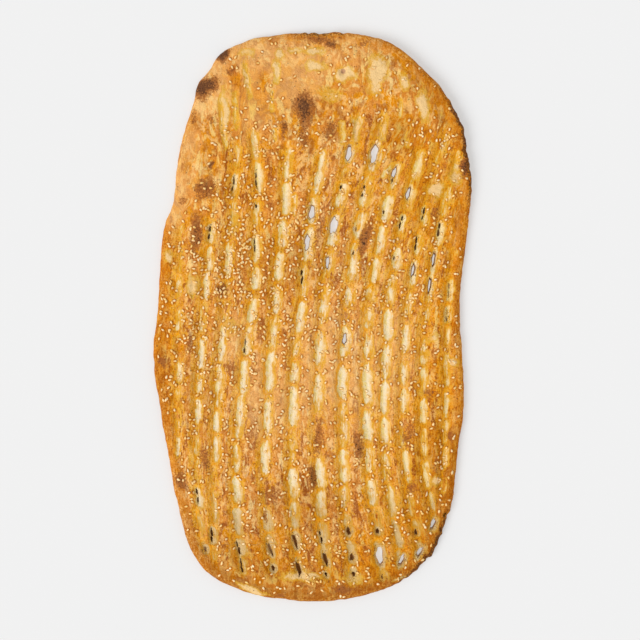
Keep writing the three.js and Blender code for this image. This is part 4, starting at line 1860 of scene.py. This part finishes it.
@dataclass(frozen=True)
class Studio:
    """A pale table, a soft key light from the lower left, and a camera straight overhead.

    glow is the table's own light in the open, and beneath the loaf, where it is stronger as painted light that
    lightens the floor seen through the tears; painted_light_patch is the half width and half length of the part
    beneath it.
    """

    view_x: float = 7.5
    view_y: float = -3.0
    view_width: float = 640.0
    level: float = 8.0
    lens: float = 85.0
    sensor: float = 36.0
    light_travel: tuple[float, float, float] = (0.62, 0.4, -0.72)
    light_energy: float = 1.9
    light_spread: float = 35.0
    sky: float = 0.62
    floor_reach: float = 30000.0
    floor_level: float = -0.05
    floor_grey: float = 0.46
    glow: tuple[float, float] = (0.40, 0.52)
    painted_light_patch: tuple[float, float] = (140.0, 268.0)

    def build(self) -> None:
        """Makes the floor, the lights, the world and the camera."""
        scene = bpy.context.scene
        scene.view_settings.view_transform = "Standard"
        self._floor()
        self._world(scene)
        self._key_light()
        self._camera(scene)

    def _floor(self) -> None:
        """A wide pale floor, a hair under the loaf.

        It glows a little more in the painted_light_patch beneath the loaf, as painted light that lightens the
        floor seen through the tears. The patch ends where the sum of the fourth powers of x / half width and y
        / half length is 1.
        """
        signs = np.array([[-1, -1], [1, -1], [1, 1], [-1, 1]])
        corners = np.column_stack([signs * self.floor_reach, np.full(4, self.floor_level)])
        floor = new_object("floor", corners, [[0, 1, 2, 3]])
        material, tree, shader = new_material("floor")
        shader.inputs["Base Color"].default_value = (*[self.floor_grey] * 3, 1.0)
        shader.inputs["Emission Color"].default_value = (1.0, 1.0, 1.0, 1.0)
        places = tree.places()
        fourths = []
        for axis, half in zip("XY", self.painted_light_patch):
            size = tree.sums("ABSOLUTE", tree.part(places, axis), 0.0)
            fourths.append(tree.sums("DIVIDE", tree.sums("POWER", size, 4.0), half**4))
        # Painted light: the floor glows more beneath the loaf, so that the tears show it pale.
        beneath = tree.step(tree.plus(*fourths), 1.0, 0.75, *self.glow)
        tree.feed(shader.inputs["Emission Strength"], beneath)
        shader.inputs["Roughness"].default_value = 0.9
        shader.inputs["Specular IOR Level"].default_value = 0.1
        floor.data.materials.append(material)

    def _world(self, scene: bpy.types.Scene) -> None:
        """An even pale sky that fills the shadows.

        Args:
            scene: the scene.
        """
        world = bpy.data.worlds.new("studio")
        world.use_nodes = True
        background = world.node_tree.nodes["Background"]
        background.inputs["Color"].default_value = (1.0, 1.0, 1.0, 1.0)
        background.inputs["Strength"].default_value = self.sky
        scene.world = world

    def _key_light(self) -> None:
        """A broad sun from the lower left, for soft shadows."""
        light = bpy.data.lights.new("key", "SUN")
        light.energy = self.light_energy
        light.angle = math.radians(self.light_spread)
        key = bpy.data.objects.new("key", light)
        key.rotation_euler = Vector(self.light_travel).to_track_quat("-Z", "Y").to_euler()
        bpy.context.scene.collection.objects.link(key)

    def _camera(self, scene: bpy.types.Scene) -> None:
        """A long lens straight above, its frame view_width wide at the level of the crust.

        Args:
            scene: the scene.
        """
        data = bpy.data.cameras.new("overhead")
        data.lens = self.lens
        data.sensor_width = self.sensor
        data.clip_end = 20.0
        camera = bpy.data.objects.new("overhead", data)
        height = self.view_width * self.lens / self.sensor + self.level
        camera.location = (self.view_x * MM, self.view_y * MM, height * MM)
        scene.collection.objects.link(camera)
        scene.camera = camera


def main() -> None:
    """Builds the loaf, its seeds and the room, and notes each piece."""
    logging.basicConfig(level=logging.INFO, format="%(name)s: %(message)s")
    speckle = speckle_group()
    plan = Plan()
    relief = Relief(plan)
    sesame = Sesame(plan, relief)
    loaf = Loaf(plan, relief).build(sesame.places())
    loaf.data.materials.clear()
    loaf.data.materials.append(CrustFinish().make(speckle))
    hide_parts("bread")
    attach(loaf, "root")
    loaf.data.calc_loop_triangles()
    log.info("loaf: %d triangles", len(loaf.data.loop_triangles))
    seeds = sesame.build()
    seeds.data.materials.append(SesameFinish().make(speckle))
    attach(seeds, "root")
    seeds.data.calc_loop_triangles()
    log.info("sesame: %d triangles", len(seeds.data.loop_triangles))
    Studio().build()


if __name__ == "__main__":
    main()
